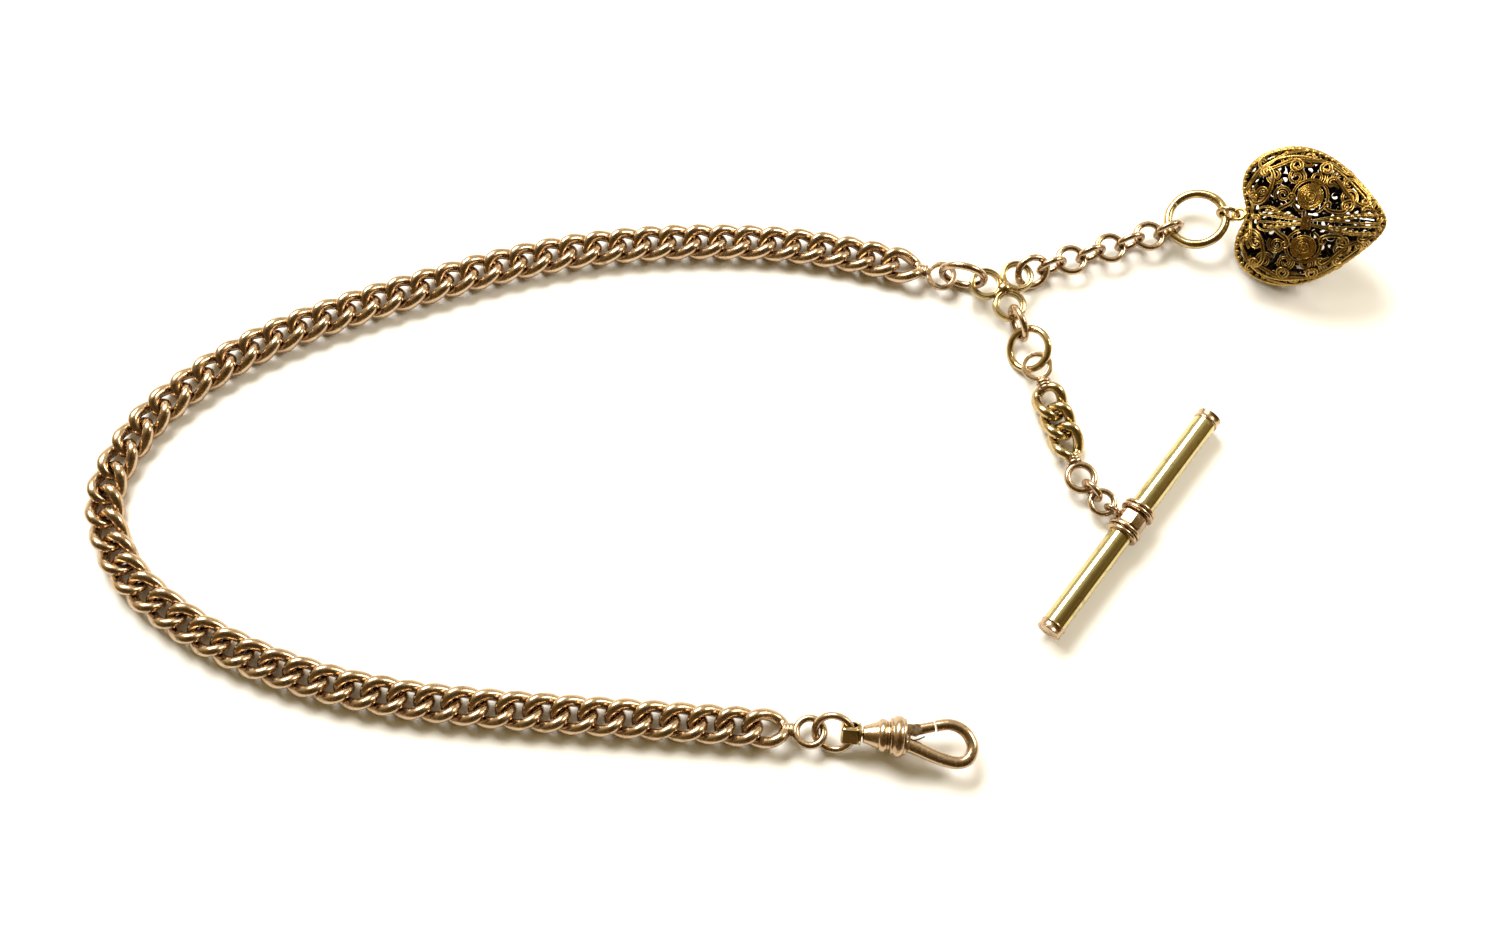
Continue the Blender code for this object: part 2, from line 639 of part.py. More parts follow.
def build_bar_drop(root):
    petal = petal_middle("bar")
    upper_at = Vector(BAR_UPPER_RING_AT)
    heading = heading_of(upper_at - petal)
    step = along(heading)
    link_at = petal + step * 2.85
    link_at.z = BAR_DROP_LINK[0] + BAR_DROP_LINK[1] / 2
    hinge = pivot("bar_drop_link", root, petal + step * PETAL_CONTACT, sideways(heading))
    piece("bar_drop_link", wire_ring(BAR_DROP_LINK), frame(link_at, heading, 90.0), hinge, ROSE_GOLD)

    ring_at = link_at + step * 3.75
    ring_at.z = upper_at.z
    hinge = pivot("bar_drop_ring", hinge, ring_at - step * (BAR_DROP_RING[0] - 0.6))
    piece("bar_drop_ring", wire_ring(BAR_DROP_RING, 16), frame(ring_at, heading, 36.0), hinge, YELLOW_GOLD)

    turn = BAR_CURB_HEADING
    step = along(turn)
    hinge = pivot("bar_curb_link_1", hinge, upper_at - step * (END_WASHER[0] + END_WASHER[1]) / 2, -UP)
    fitting = end_fitting(washer(END_WASHER), END_WASHER[0])
    piece("bar_upper_ring", fitting, frame(upper_at, turn + 180.0, 8.0), hinge, ROSE_GOLD)
    size = (BAR_CURB_LONG, BAR_CURB_WIDE, BAR_CURB_WIRE)
    for number in (1, 2, 3):
        at = upper_at + step * (BAR_FITTING_REACH + BAR_CURB_PITCH * (number - 1))
        at.z = CURB_Z
        if number > 1:
            axis = sideways(turn) if number == 2 else UP
            hinge = pivot(f"bar_curb_link_{number}", hinge, at - step * BAR_CURB_PITCH / 2, axis)
        link = curb_link(size, LINK_TWIST, LINK_TWIST)
        piece(f"bar_curb_link_{number}", link, frame(at, turn), hinge, YELLOW_GOLD)
    lower_at = at + step * BAR_FITTING_REACH
    lower_at.z = CURB_Z + 0.2
    fitting = end_fitting(wire_ring(END_RING), sum(END_RING) - END_RING[1] / 2)
    piece("bar_lower_ring", fitting, frame(lower_at, turn), hinge, ROSE_GOLD)

    bar_ring_at = Vector((*BAR_RING_AT, lower_at.z))
    heading = heading_of(bar_ring_at - lower_at)
    step = along(heading)
    gap = (bar_ring_at - lower_at).length - END_RING[0] - BAR_RING[0]
    split_at = lower_at + step * (END_RING[0] + gap / 2)
    split_at.z = BAR_SPLIT_RING[0] + BAR_SPLIT_RING[1] / 2
    hinge = pivot("bar_split_ring", hinge, lower_at + step * END_RING[0], sideways(heading))
    piece("bar_split_ring", wire_ring(BAR_SPLIT_RING), frame(split_at, heading, 90.0), hinge, ROSE_GOLD)
    hinge = pivot("bar_ring", hinge, bar_ring_at - step * BAR_RING[0])
    piece("bar_ring", wire_ring(BAR_RING), frame(bar_ring_at, heading), hinge, ROSE_GOLD)
    build_bar(hinge, bar_ring_at)


def main():
    clear_scene()
    root = build_connector()
    build_clasp(*build_main_chain(root))
    build_fob_drop(root)
    build_bar_drop(root)


main()
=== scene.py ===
"""Looks of the pocket watch chain: gold filled curb chain, swivel clasp, T-bar and filigree heart.

Lengths are in millimetres until a mesh is placed, and then in metres like the frame.
"""

import json
import math

import bmesh
import bpy
import numpy as np
from mathutils import Matrix, Vector


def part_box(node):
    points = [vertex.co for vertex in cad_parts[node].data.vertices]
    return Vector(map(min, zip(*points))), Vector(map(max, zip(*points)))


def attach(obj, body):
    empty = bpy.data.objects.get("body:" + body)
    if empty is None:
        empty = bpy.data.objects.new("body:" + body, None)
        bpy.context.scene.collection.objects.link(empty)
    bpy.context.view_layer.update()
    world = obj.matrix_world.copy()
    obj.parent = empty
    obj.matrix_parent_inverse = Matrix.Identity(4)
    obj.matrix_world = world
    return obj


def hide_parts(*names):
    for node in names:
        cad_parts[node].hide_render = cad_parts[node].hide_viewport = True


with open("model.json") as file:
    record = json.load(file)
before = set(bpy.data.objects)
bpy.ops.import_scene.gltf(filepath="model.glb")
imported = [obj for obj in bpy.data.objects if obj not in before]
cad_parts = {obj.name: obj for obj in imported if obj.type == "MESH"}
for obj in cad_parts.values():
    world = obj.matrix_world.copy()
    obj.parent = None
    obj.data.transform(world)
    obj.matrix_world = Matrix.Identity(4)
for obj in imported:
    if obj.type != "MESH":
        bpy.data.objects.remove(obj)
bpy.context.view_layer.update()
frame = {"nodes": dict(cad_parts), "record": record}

MM = 0.001
UP = Vector((0.0, 0.0, 1.0))
JOINTS = {joint["name"]: joint for joint in frame["record"]["behaviour"]["joints"]}

# Long curb chain
RUN_LENGTHS = [2] + [3] * 20 + [2]
LINK_PITCH = 3.43
CURB_LINK = {"Half Length": 2.41, "Half Width": 1.75, "Wire": 1.56, "Rise": 0.8, "Thinner": 0.13}
BAR_CURB_LINK = {"Half Length": 2.12, "Half Width": 1.68, "Wire": 1.46, "Rise": 0.8, "Thinner": 0.13}

# Round wire rings: radius at the middle of the wire, wire thickness, open cut
RINGS = {
    "main_jump_ring": (2.86, 1.08, 0.0),
    "clasp_ring": (2.35, 0.96, 0.0),
    "fob_jump_ring": (2.1, 0.98, 0.0),
    "charm_ring": (3.78, 1.2, 0.2),
    "heart_bail": (1.35, 0.66, 0.0),
    "bar_drop_link": (2.2, 0.95, 0.0),
    "bar_drop_ring": (2.75, 0.98, 0.09),
    "bar_split_ring": (1.42, 0.8, 0.0),
    "bar_ring": (1.55, 0.8, 0.0),
}
FOB_LINK = (1.79, 0.86, 0.0)
END_RING = (1.75, 0.95, 0.0)
END_RING_REACH = END_RING[0] + 0.35
END_RING_LEAN = -8.0            # degrees: it lies a little askew
END_WASHER = (2.08, 1.38, 0.62)   # outer radius, hole radius, thickness
CAD_WASHER_RADIUS = 2.02
PETAL = (2.28, 1.45, 0.85)
PETAL_REACH = 2.55
CAD_PETAL_RADIUS = 2.25
PETAL_HEADINGS = (164.0, 44.0, -76.0)
YELLOW_RINGS = ("charm_ring", "heart_bail", "bar_drop_ring")
SEAM_HEADINGS = {"charm_ring": 118.0}   # where on a ring its open cut is
CHARM_RING_DENTS = 0.16


# ---------------------------------------------------------------- node trees

def linear(code):
    """A linear colour from an sRGB hex code."""
    parts = [int(code[k:k + 2], 16) / 255 for k in (1, 3, 5)]
    return tuple(c / 12.92 if c <= 0.04045 else ((c + 0.055) / 1.055) ** 2.4 for c in parts) + (1.0,)


def add(tree, kind, sockets=None, **settings):
    """Add a node, set its properties, and fill its inputs with values or with other nodes' outputs."""
    made = tree.nodes.new(kind)
    for name, value in settings.items():
        setattr(made, name, value)
    for key, value in (sockets or {}).items():
        socket = made.inputs[key]
        if isinstance(value, bpy.types.NodeSocket):
            tree.links.new(value, socket)
        else:
            socket.default_value = value
    return made


def ramp(tree, source, stops):
    """Colours along a value from 0 to 1."""
    made = add(tree, "ShaderNodeValToRGB", {"Fac": source})
    points = made.color_ramp.elements
    while len(points) < len(stops):
        points.new(0.5)
    for point, (place, code) in zip(points, stops):
        point.position = place
        point.color = linear(code)
    return made.outputs["Color"]


def new_material(name):
    made = bpy.data.materials.new(name)
    made.use_nodes = True
    tree = made.node_tree
    tree.nodes.clear()
    shader = add(tree, "ShaderNodeBsdfPrincipled", {"Metallic": 1.0})
    add(tree, "ShaderNodeOutputMaterial", {"Surface": shader.outputs["BSDF"]})
    return made, tree, shader


PATCH = 6.0          # millimetres across: soft patches of the two tones
SPOT = 1.1           # spots of tarnish
WEAR = 0.35          # fine rubs in the gloss
TARNISH_DULLS = 0.25


def gold_material(name, colours, tarnish_and_shade, roughness, bump=0.12, attribute=None):
    """Gold of two tones in soft patches, small tarnished spots, and fine wear that breaks the gloss. Given an
    attribute, the low part of each section is also darkened: oxide in its grooves, and painted shade on its
    lower sides and underside.
    """
    made, tree, shader = new_material(name)
    place = add(tree, "ShaderNodeTexCoord").outputs["Object"]
    patches = add(tree, "ShaderNodeTexNoise", {"Vector": place, "Scale": 1 / (PATCH * MM), "Detail": 3.0})
    spots = add(tree, "ShaderNodeTexNoise", {"Vector": place, "Scale": 1 / (SPOT * MM), "Detail": 5.0})
    wear = add(tree, "ShaderNodeTexNoise", {"Vector": place, "Scale": 1 / (WEAR * MM), "Detail": 4.0})
    tone = ramp(tree, patches.outputs["Fac"], [(0.36, colours[0]), (0.64, colours[1])])
    dirty = add(tree, "ShaderNodeMapRange", {
        "Value": spots.outputs["Fac"], "From Min": 0.54, "From Max": 0.72, "To Min": 0.0, "To Max": 0.55,
    })
    share = dirty.outputs["Result"]
    # Painted shade: where the crest attribute is low, the colour goes towards the dark tarnish colour, so
    # lower sides and undersides darken; only in the sunk channel does this stand for real oxide.
    if attribute:
        crest = add(tree, "ShaderNodeAttribute", attribute_name=attribute)
        oxide_and_shade = add(tree, "ShaderNodeMapRange", {
            "Value": crest.outputs["Fac"], "From Min": 0.5, "From Max": 0.85, "To Min": 1.0, "To Max": 0.0,
        })
        worse = add(tree, "ShaderNodeMath", {0: share, 1: oxide_and_shade.outputs["Result"]}, operation="MAXIMUM")
        share = worse.outputs[0]
    colour = add(tree, "ShaderNodeMix", {"Factor": share, "A": tone, "B": linear(tarnish_and_shade)}, data_type="RGBA")
    tree.links.new(colour.outputs["Result"], shader.inputs["Base Color"])
    rough = add(tree, "ShaderNodeMapRange", {
        "Value": wear.outputs["Fac"], "From Min": 0.3, "From Max": 0.7,
        "To Min": roughness[0], "To Max": roughness[1],
    })
    dull = add(tree, "ShaderNodeMath", {
        0: share, 1: TARNISH_DULLS, 2: rough.outputs["Result"],
    }, operation="MULTIPLY_ADD")
    tree.links.new(dull.outputs[0], shader.inputs["Roughness"])
    dents = add(tree, "ShaderNodeBump", {
        "Strength": bump, "Distance": 0.05 * MM, "Height": spots.outputs["Fac"],
    })
    tree.links.new(dents.outputs["Normal"], shader.inputs["Normal"])
    return made


# Rolled gold plate on brass, drawn to wire and worn for years: rosy where the brass warms it,
# brown in the pits, and a satin gloss with tiny rubs.
ROSE_GOLD = gold_material("rolled_rose_gold_worn_wire", ("#B1987B", "#B99F80"), "#6B5039", (0.13, 0.3))
# The same plate with a yellower skin, on the sheet and the turned fittings.
YELLOW_GOLD = gold_material("rolled_yellow_gold_polished", ("#BBA77C", "#B59D6E"), "#735C3B", (0.1, 0.24))
# Drawn tube, burnished: nearly a mirror with a greenish yellow cast.
BAR_GOLD = gold_material("burnished_gold_tube", ("#C8BA8B", "#C0B07C"), "#776339", (0.05, 0.13), 0.04)
# Gilt brass stampings, oxidised and rubbed back: the tops shine and the grooves keep their oxide, while
# painted shade makes the lower sides and undersides of the strips nearly black.
OLD_GILT = gold_material(
    "antiqued_gilt_stamping_painted_shade", ("#B8954F", "#C7A55F"), "#150D06", (0.2, 0.34), 0.2, "crest",
)
# Gilt that kept its polish, on the small raised nodules and rosettes.
BRIGHT_GILT = gold_material("rubbed_bright_gilt", ("#D2B05C", "#C39C48"), "#4A3214", (0.14, 0.3), 0.2)
# Blued and worn steel of the pin and the leaf spring.
STEEL = gold_material("worn_spring_steel", ("#8C8B88", "#77777A"), "#3E3B38", (0.25, 0.4))


# ---------------------------------------------------------------- pieces

def mesh_object(name, mesh, place=None):
    made = bpy.data.objects.new(name, mesh)
    if place is not None:
        mesh.transform(place)
    bpy.context.scene.collection.objects.link(made)
    return made


def points_mesh(name, points, edges=(), **attributes):
    """Bare points, in metres, with vector or number attributes for a node tree to read."""
    mesh = bpy.data.meshes.new(name)
    mesh.from_pydata([tuple(p) for p in points], list(edges), [])
    for key, values in attributes.items():
        flat = np.array(values, float)
        kind = "FLOAT_VECTOR" if flat.ndim == 2 else "FLOAT"
        layer = mesh.attributes.new(key, kind, "POINT")
        layer.data.foreach_set("vector" if flat.ndim == 2 else "value", flat.ravel())
    return mesh


def grown(name, mesh, tree, values):
    """Run a node tree on a mesh and keep the plain mesh that it makes."""
    holder = mesh_object(name + "_seed", mesh)
    step = holder.modifiers.new("grow", "NODES")
    step.node_group = tree
    for item in tree.interface.items_tree:
        if item.in_out == "INPUT" and item.name in values:
            step[item.identifier] = values[item.name]
    graph = bpy.context.evaluated_depsgraph_get()
    result = bpy.data.meshes.new_from_object(holder.evaluated_get(graph))
    holder.modifiers.remove(step)
    bpy.data.objects.remove(holder, do_unlink=True)
    result.name = name
    result.shade_smooth()
    return mesh_object(name, result)


def hand_over(piece, body, slot, *nodes):
    """Fix a finished piece to its CAD body, and hide the CAD nodes that it stands for."""
    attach(piece, body)
    if nodes:
        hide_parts(*nodes)


SLOTS = {
    ROSE_GOLD: "rose_gold_fill", YELLOW_GOLD: "yellow_gold_fill", BAR_GOLD: "yellow_gold_fill",
    OLD_GILT: "antiqued_gilt", BRIGHT_GILT: "antiqued_gilt", STEEL: "spring_steel",
}


def new_tree(name, sockets):
    tree = bpy.data.node_groups.new(name, "GeometryNodeTree")
    tree.interface.new_socket("Geometry", in_out="INPUT", socket_type="NodeSocketGeometry")
    for key, kind in sockets.items():
        tree.interface.new_socket(key, in_out="INPUT", socket_type="NodeSocket" + kind)
    tree.interface.new_socket("Geometry", in_out="OUTPUT", socket_type="NodeSocketGeometry")
    return tree, add(tree, "NodeGroupInput").outputs


def loop_tree():
    """A wire loop on every point, turned by the point's "turn": an oval, a curb twist, or a cut ring."""
    tree, given = new_tree("wire_loops", {
        "Half Length": "Float", "Half Width": "Float", "Wire": "Float", "Rise": "Float", "Cut": "Float",
        "Thinner": "Float", "Worn": "Float", "Material": "Material",
    })
    circle = add(tree, "GeometryNodeCurvePrimitiveCircle", {"Resolution": 56, "Radius": 1.0})
    spot = add(tree, "ShaderNodeSeparateXYZ", {"Vector": add(tree, "GeometryNodeInputPosition").outputs[0]})
    long = add(tree, "ShaderNodeMath", {0: spot.outputs["X"], 1: given["Half Length"]}, operation="MULTIPLY")
    wide = add(tree, "ShaderNodeMath", {0: spot.outputs["Y"], 1: given["Half Width"]}, operation="MULTIPLY")
    both = add(tree, "ShaderNodeMath", {0: spot.outputs["X"], 1: spot.outputs["Y"]}, operation="MULTIPLY")
    twist = add(tree, "ShaderNodeMath", {0: given["Rise"], 1: -2.0}, operation="MULTIPLY")
    high = add(tree, "ShaderNodeMath", {0: both.outputs[0], 1: twist.outputs[0]}, operation="MULTIPLY")
    shaped = add(tree, "GeometryNodeSetPosition", {
        "Geometry": circle.outputs["Curve"],
        "Position": add(tree, "ShaderNodeCombineXYZ", {
            "X": long.outputs[0], "Y": wide.outputs[0], "Z": high.outputs[0],
        }).outputs[0],
    })
    trimmed = add(tree, "GeometryNodeTrimCurve", {
        "Curve": shaped.outputs["Geometry"], "Start": given["Cut"], "End": 1.0,
    }, mode="FACTOR")
    is_cut = add(tree, "FunctionNodeCompare", {"A": given["Cut"], "B": 0.0}, operation="GREATER_THAN")
    line = add(tree, "GeometryNodeSwitch", {
        "Switch": is_cut.outputs[0], "False": shaped.outputs["Geometry"], "True": trimmed.outputs["Curve"],
    }, input_type="GEOMETRY")
    # A bent link is drawn thinner at its two ends than along its sides.
    there = add(tree, "ShaderNodeSeparateXYZ", {"Vector": add(tree, "GeometryNodeInputPosition").outputs[0]})
    out = add(tree, "ShaderNodeMath", {0: there.outputs["X"], 1: given["Half Length"]}, operation="DIVIDE")
    square = add(tree, "ShaderNodeMath", {0: out.outputs[0], 1: out.outputs[0]}, operation="MULTIPLY")
    drawn = add(tree, "ShaderNodeMath", {0: given["Thinner"], 1: -1.0}, operation="MULTIPLY")
    share = add(tree, "ShaderNodeMath", {
        0: square.outputs[0], 1: drawn.outputs[0], 2: 1.0,
    }, operation="MULTIPLY_ADD")
    half = add(tree, "ShaderNodeMath", {0: given["Wire"], 1: 0.5}, operation="MULTIPLY")
    section = add(tree, "GeometryNodeCurvePrimitiveCircle", {"Resolution": 16, "Radius": half.outputs[0]})
    wire = add(tree, "GeometryNodeCurveToMesh", {
        "Curve": line.outputs[0], "Profile Curve": section.outputs["Curve"], "Fill Caps": True,
        "Scale": share.outputs[0],
    })
    turn = add(tree, "GeometryNodeInputNamedAttribute", {"Name": "turn"}, data_type="FLOAT_VECTOR")
    spin = add(tree, "FunctionNodeEulerToRotation", {"Euler": turn.outputs["Attribute"]})
    copies = add(tree, "GeometryNodeInstanceOnPoints", {
        "Points": given["Geometry"], "Instance": wire.outputs["Mesh"], "Rotation": spin.outputs[0],
    })
    real = add(tree, "GeometryNodeRealizeInstances", {"Geometry": copies.outputs["Instances"]})
    # Hand bent wire is never quite even: each point strays along its normal by a slow noise.
    stray = add(tree, "ShaderNodeTexNoise", {
        "Vector": add(tree, "GeometryNodeInputPosition").outputs[0], "Scale": 1 / (2.2 * MM), "Detail": 1.0,
    })
    centred = add(tree, "ShaderNodeMath", {0: stray.outputs[0], 1: 0.5}, operation="SUBTRACT")
    amount = add(tree, "ShaderNodeMath", {0: centred.outputs[0], 1: given["Worn"]}, operation="MULTIPLY")
    push = add(tree, "ShaderNodeVectorMath", {
        0: add(tree, "GeometryNodeInputNormal").outputs[0], "Scale": amount.outputs[0],
    }, operation="SCALE")
    worn = add(tree, "GeometryNodeSetPosition", {"Geometry": real.outputs[0], "Offset": push.outputs[0]})
    done = add(tree, "GeometryNodeSetMaterial", {"Geometry": worn.outputs[0], "Material": given["Material"]})
    add(tree, "NodeGroupOutput", {"Geometry": done.outputs[0]})
    return tree


WIRE_LOOPS = loop_tree()


def wire_loops(name, places, size, material, body, nodes=()):
    """One wire loop at each place, a matrix in metres, as one piece."""
    points = [place.translation for place in places]
    turns = [tuple(place.to_euler()) for place in places]
    shares = {"Cut": 0.0, "Thinner": 0.0}
    full = {**shares, "Worn": 0.05, **size}
    values = {key: value if key in shares else value * MM for key, value in full.items()}
    values["Material"] = material
    piece = grown(name, points_mesh(name, points, turn=turns), WIRE_LOOPS, values)
    hand_over(piece, body, SLOTS[material], *nodes)
    return piece


def body_of_node(node):
    return next(body for body, nodes in frame["record"]["behaviour"]["bodies"].items() if node in nodes)


def vertices(*nodes):
    return np.concatenate([[v.co for v in frame["nodes"][node].data.vertices] for node in nodes])


def axes_of(points):
    """Middle of a cloud of points, and its axes from the longest to the shortest."""
    middle = points.mean(0)
    axes = np.linalg.eigh(np.cov((points - middle).T))[1]
    return middle, [Vector(axes[:, k]) for k in (2, 1, 0)]


def place_from(middle, x_axis, z_axis):
    """A place from its middle, its X, and roughly its Z."""
    x = Vector(x_axis).normalized()
    y = Vector(z_axis).cross(x).normalized()
    z = x.cross(y)
    made = Matrix((x, y, z)).transposed().to_4x4()
    made.translation = Vector(middle)
    return made


def ring_place(node, near=None):
    """Where a CAD ring stands: its Z is the ring's own axis, and its X points towards near."""
    middle, axes = axes_of(vertices(node))
    normal = axes[2]
    if normal.z < 0:
        normal = -normal
    middle = Vector(middle)
    towards = (Vector(near) - middle) if near is not None else Vector((1.0, 0.3, 0.0))
    towards = towards - normal * towards.dot(normal)
    return place_from(middle, towards, normal)


# ---------------------------------------------------------------- shapes in millimetres

def lathe(profile, steps=64, closed=False):
    """Turn (along, radius) points about X. Radius 0 closes an end on the axis."""
    bm = bmesh.new()
    loops = []
    for x, r in profile:
        if r < 1e-6:
            loops.append([bm.verts.new((x, 0.0, 0.0))])
            continue
        turns = [2 * math.pi * k / steps for k in range(steps)]
        loops.append([bm.verts.new((x, r * math.cos(t), r * math.sin(t))) for t in turns])
    pairs = list(zip(loops, loops[1:] + loops[:1]))
    for near, far in pairs if closed else pairs[:-1]:
        if len(near) == len(far) == 1:
            continue
        for k in range(steps):
            j = (k + 1) % steps
            corners = [near[k % len(near)], near[j % len(near)], far[j % len(far)], far[k % len(far)]]
            bm.faces.new(list(dict.fromkeys(corners)))
    bmesh.ops.recalc_face_normals(bm, faces=bm.faces)
    return bm


def rounded(corners, radius, steps=5):
    """Replace each corner of a closed outline by a small arc, so that turned edges catch the light."""
    made = []
    count = len(corners)
    for k in range(count):
        here = Vector(corners[k])
        before = Vector(corners[k - 1]) - here
        after = Vector(corners[(k + 1) % count]) - here
        cut = min(radius, before.length * 0.45, after.length * 0.45)
        a = here + before.normalized() * cut
        b = here + after.normalized() * cut
        for j in range(steps + 1):
            t = j / steps
            made.append(tuple((1 - t) ** 2 * a + 2 * t * (1 - t) * here + t ** 2 * b))
    return made


def washer(size, soft=0.16):
    """A flat ring about Z with softened edges."""
    outer, hole, thick = size
    corners = [(-thick / 2, hole), (thick / 2, hole), (thick / 2, outer), (-thick / 2, outer)]
    made = lathe(rounded(corners, soft), 56, closed=True)
    bmesh.ops.rotate(made, matrix=Matrix.Rotation(math.radians(-90), 3, "Y"), verts=made.verts)
    return made


def smooth_path(points, per_span=10):
    """A Catmull-Rom curve through points."""
    given = [Vector(p) for p in points]
    ends = [2 * given[0] - given[1]] + given + [2 * given[-1] - given[-2]]
    made = []
    for a, b, c, d in zip(ends, ends[1:], ends[2:], ends[3:]):
        for k in range(per_span):
            t = k / per_span
            bend = (2 * a - 5 * b + 4 * c - d) * t ** 2 + (3 * b - a - 3 * c + d) * t ** 3
            made.append(0.5 * (2 * b + (c - a) * t + bend))
    return made + [given[-1]]


def swept(path, section_at, closed=False):
    """Carry a changing section along a flat path. section_at(share) gives (sideways, up) points."""
    bm = bmesh.new()
    count = len(path)
    loops = []
    for k, point in enumerate(path):
        ahead = path[min(k + 1, count - 1)]
        behind = path[max(k - 1, 0)]
        run = (ahead - behind).normalized()
        side = run.cross(UP).normalized()
        loops.append([bm.verts.new(point + side * s + UP * u) for s, u in section_at(k / (count - 1))])
    sides = len(loops[0])
    for near, far in zip(loops, loops[1:]):
        for j in range(sides):
            i = (j + 1) % sides
            bm.faces.new((near[j], far[j], far[i], near[i]))
    bm.faces.new(loops[0])
    bm.faces.new(loops[-1][::-1])
    bmesh.ops.recalc_face_normals(bm, faces=bm.faces)
    return bm


def superellipse(wide, high, power=2.0, steps=20):
    """A section from round to boxy, as (sideways, up) points."""
    made = []
    for k in range(steps):
        t = 2 * math.pi * (k + 0.5) / steps
        c, s = math.cos(t), math.sin(t)
        made.append((wide / 2 * math.copysign(abs(c) ** (2 / power), c),
                     high / 2 * math.copysign(abs(s) ** (2 / power), s)))
    return made


def solid(name, shapes, place, material, body, *nodes, sharp=35.0):
    """Join shapes drawn in millimetres into one piece at a place in metres."""
    joined = bmesh.new()
    for shape in shapes:
        mesh = bpy.data.meshes.new("part")
        shape.to_mesh(mesh)
        shape.free()
        joined.from_mesh(mesh)
        bpy.data.meshes.remove(mesh)
    mesh = bpy.data.meshes.new(name)
    joined.to_mesh(mesh)
    joined.free()
    mesh.shade_smooth()
    mesh.set_sharp_from_angle(angle=math.radians(sharp))
    mesh.materials.append(material)
    piece = mesh_object(name, mesh, place @ Matrix.Scale(MM, 4))
    hand_over(piece, body, SLOTS[material], *nodes)
    return piece


def shifted(shape, matrix):
    bmesh.ops.transform(shape, matrix=matrix, verts=shape.verts)
    return shape


def rounded_box(low, high, soft=0.12):
    bm = bmesh.new()
    bmesh.ops.create_cube(bm, size=1.0)
    low, high = Vector(low), Vector(high)
    bmesh.ops.scale(bm, vec=high - low, verts=bm.verts)
    bmesh.ops.translate(bm, vec=(low + high) / 2, verts=bm.verts)
    bmesh.ops.bevel(bm, geom=bm.edges[:], offset=soft, segments=3, profile=0.6, affect="EDGES")
    return bm


# ---------------------------------------------------------------- long curb chain

def far_point(node, direction):
    """How far a CAD node reaches along a direction."""
    return float((vertices(node) @ np.array(direction)).max())


def end_ring_middle(node, direction, outer):
    """Middle of an end ring: its outer radius back from its far side, on its own middle line."""
    side = Vector((-direction.y, direction.x, 0.0))
    across = vertices(node) @ np.array(side)
    low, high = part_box(node)
    along = far_point(node, direction) - outer * MM
    return direction * along + side * float(across.max() + across.min()) / 2 + UP * (low.z + high.z) / 2


def chain_stations():
    """Places of all links: the joints lie midway between links and three pitches apart."""
    pivots = [Vector(JOINTS[f"curb_run_{k:02d}_hinge"]["pos_m"]) for k in range(2, 23)]
    first = (pivots[0] - sum(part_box("upper_end_ring"), Vector()) / 2).normalized()
    last = (sum(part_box("lower_end_ring"), Vector()) / 2 - pivots[-1]).normalized()
    first.z = last.z = 0.0
    span = 3 * LINK_PITCH * MM
    line = [pivots[0] - first * span] + pivots + [pivots[-1] + last * span]
    made = []
    for number in range(sum(RUN_LENGTHS)):
        s = (number - 1.5) / 3 + 1
        k = min(max(int(s), 0), len(line) - 2)
        t = s - k
        a = line[k - 1] if k > 0 else 2 * line[0] - line[1]
        b, c = line[k], line[k + 1]
        d = line[k + 2] if k + 2 < len(line) else 2 * line[-1] - line[-2]
        spot = 0.5 * (2 * b + (c - a) * t + (2 * a - 5 * b + 4 * c - d) * t ** 2
                      + (3 * b - a - 3 * c + d) * t ** 3)
        run = (c - a) + 2 * (2 * a - 5 * b + 4 * c - d) * t + 3 * (3 * b - a - 3 * c + d) * t ** 2
        made.append(place_from(spot, Vector((run.x, run.y, 0.0)), UP))
    return made


def lug_shapes(outer):
    """The soldered collar on an end ring: a short wrapped sleeve that the end link passes through."""
    coils = []
    for k in range(3):
        x = -outer - 0.2 - 0.42 * k
        radius = 1.02 - 0.06 * k
        section = rounded([(-0.2, 0.5), (0.2, 0.5), (0.2, radius), (-0.2, radius)], 0.15)
        coil = lathe(section, 28, closed=True)
        coils.append(shifted(coil, Matrix.Translation((x, 0.0, 0.0)) @ Matrix.Scale(0.78, 4, UP)))
    core = rounded_box((-outer - 1.3, -0.52, -0.42), (-outer + 0.45, 0.52, 0.42), 0.15)
    return coils + [core]


def torus(radius, wire, steps=56, sides=16):
    turns = [2 * math.pi * k / sides for k in range(sides)]
    section = [(wire / 2 * math.cos(t), radius + wire / 2 * math.sin(t)) for t in turns]
    made = lathe(section, steps, closed=True)
    bmesh.ops.rotate(made, matrix=Matrix.Rotation(math.radians(-90), 3, "Y"), verts=made.verts)
    return made


def build_end_ring(node, direction, flat, lean=0.0):
    """An end ring and its collar, whose -X faces the end link."""
    middle = end_ring_middle(node, direction, CAD_WASHER_RADIUS if flat else END_RING_REACH)
    place = place_from(middle, direction, UP) @ Matrix.Rotation(math.radians(lean), 4, "X")
    ring = washer(END_WASHER) if flat else torus(END_RING[0], END_RING[1])
    lug = lug_shapes(END_WASHER[0] if flat else END_RING_REACH)
    solid(node + "_gold", [ring] + lug, place, ROSE_GOLD, body_of_node(node), node)


def build_main_chain():
    stations = chain_stations()
    start = 0
    for number, length in enumerate(RUN_LENGTHS):
        node = f"curb_run_{number + 1:02d}"
        wire_loops(node + "_links", stations[start:start + length], CURB_LINK, ROSE_GOLD, node, [node])
        start += length
    outward = -stations[0].to_3x3().col[0]
    build_end_ring("upper_end_ring", outward, True)
    onward = stations[-1].to_3x3().col[0]
    build_end_ring("lower_end_ring", onward, False, END_RING_LEAN)


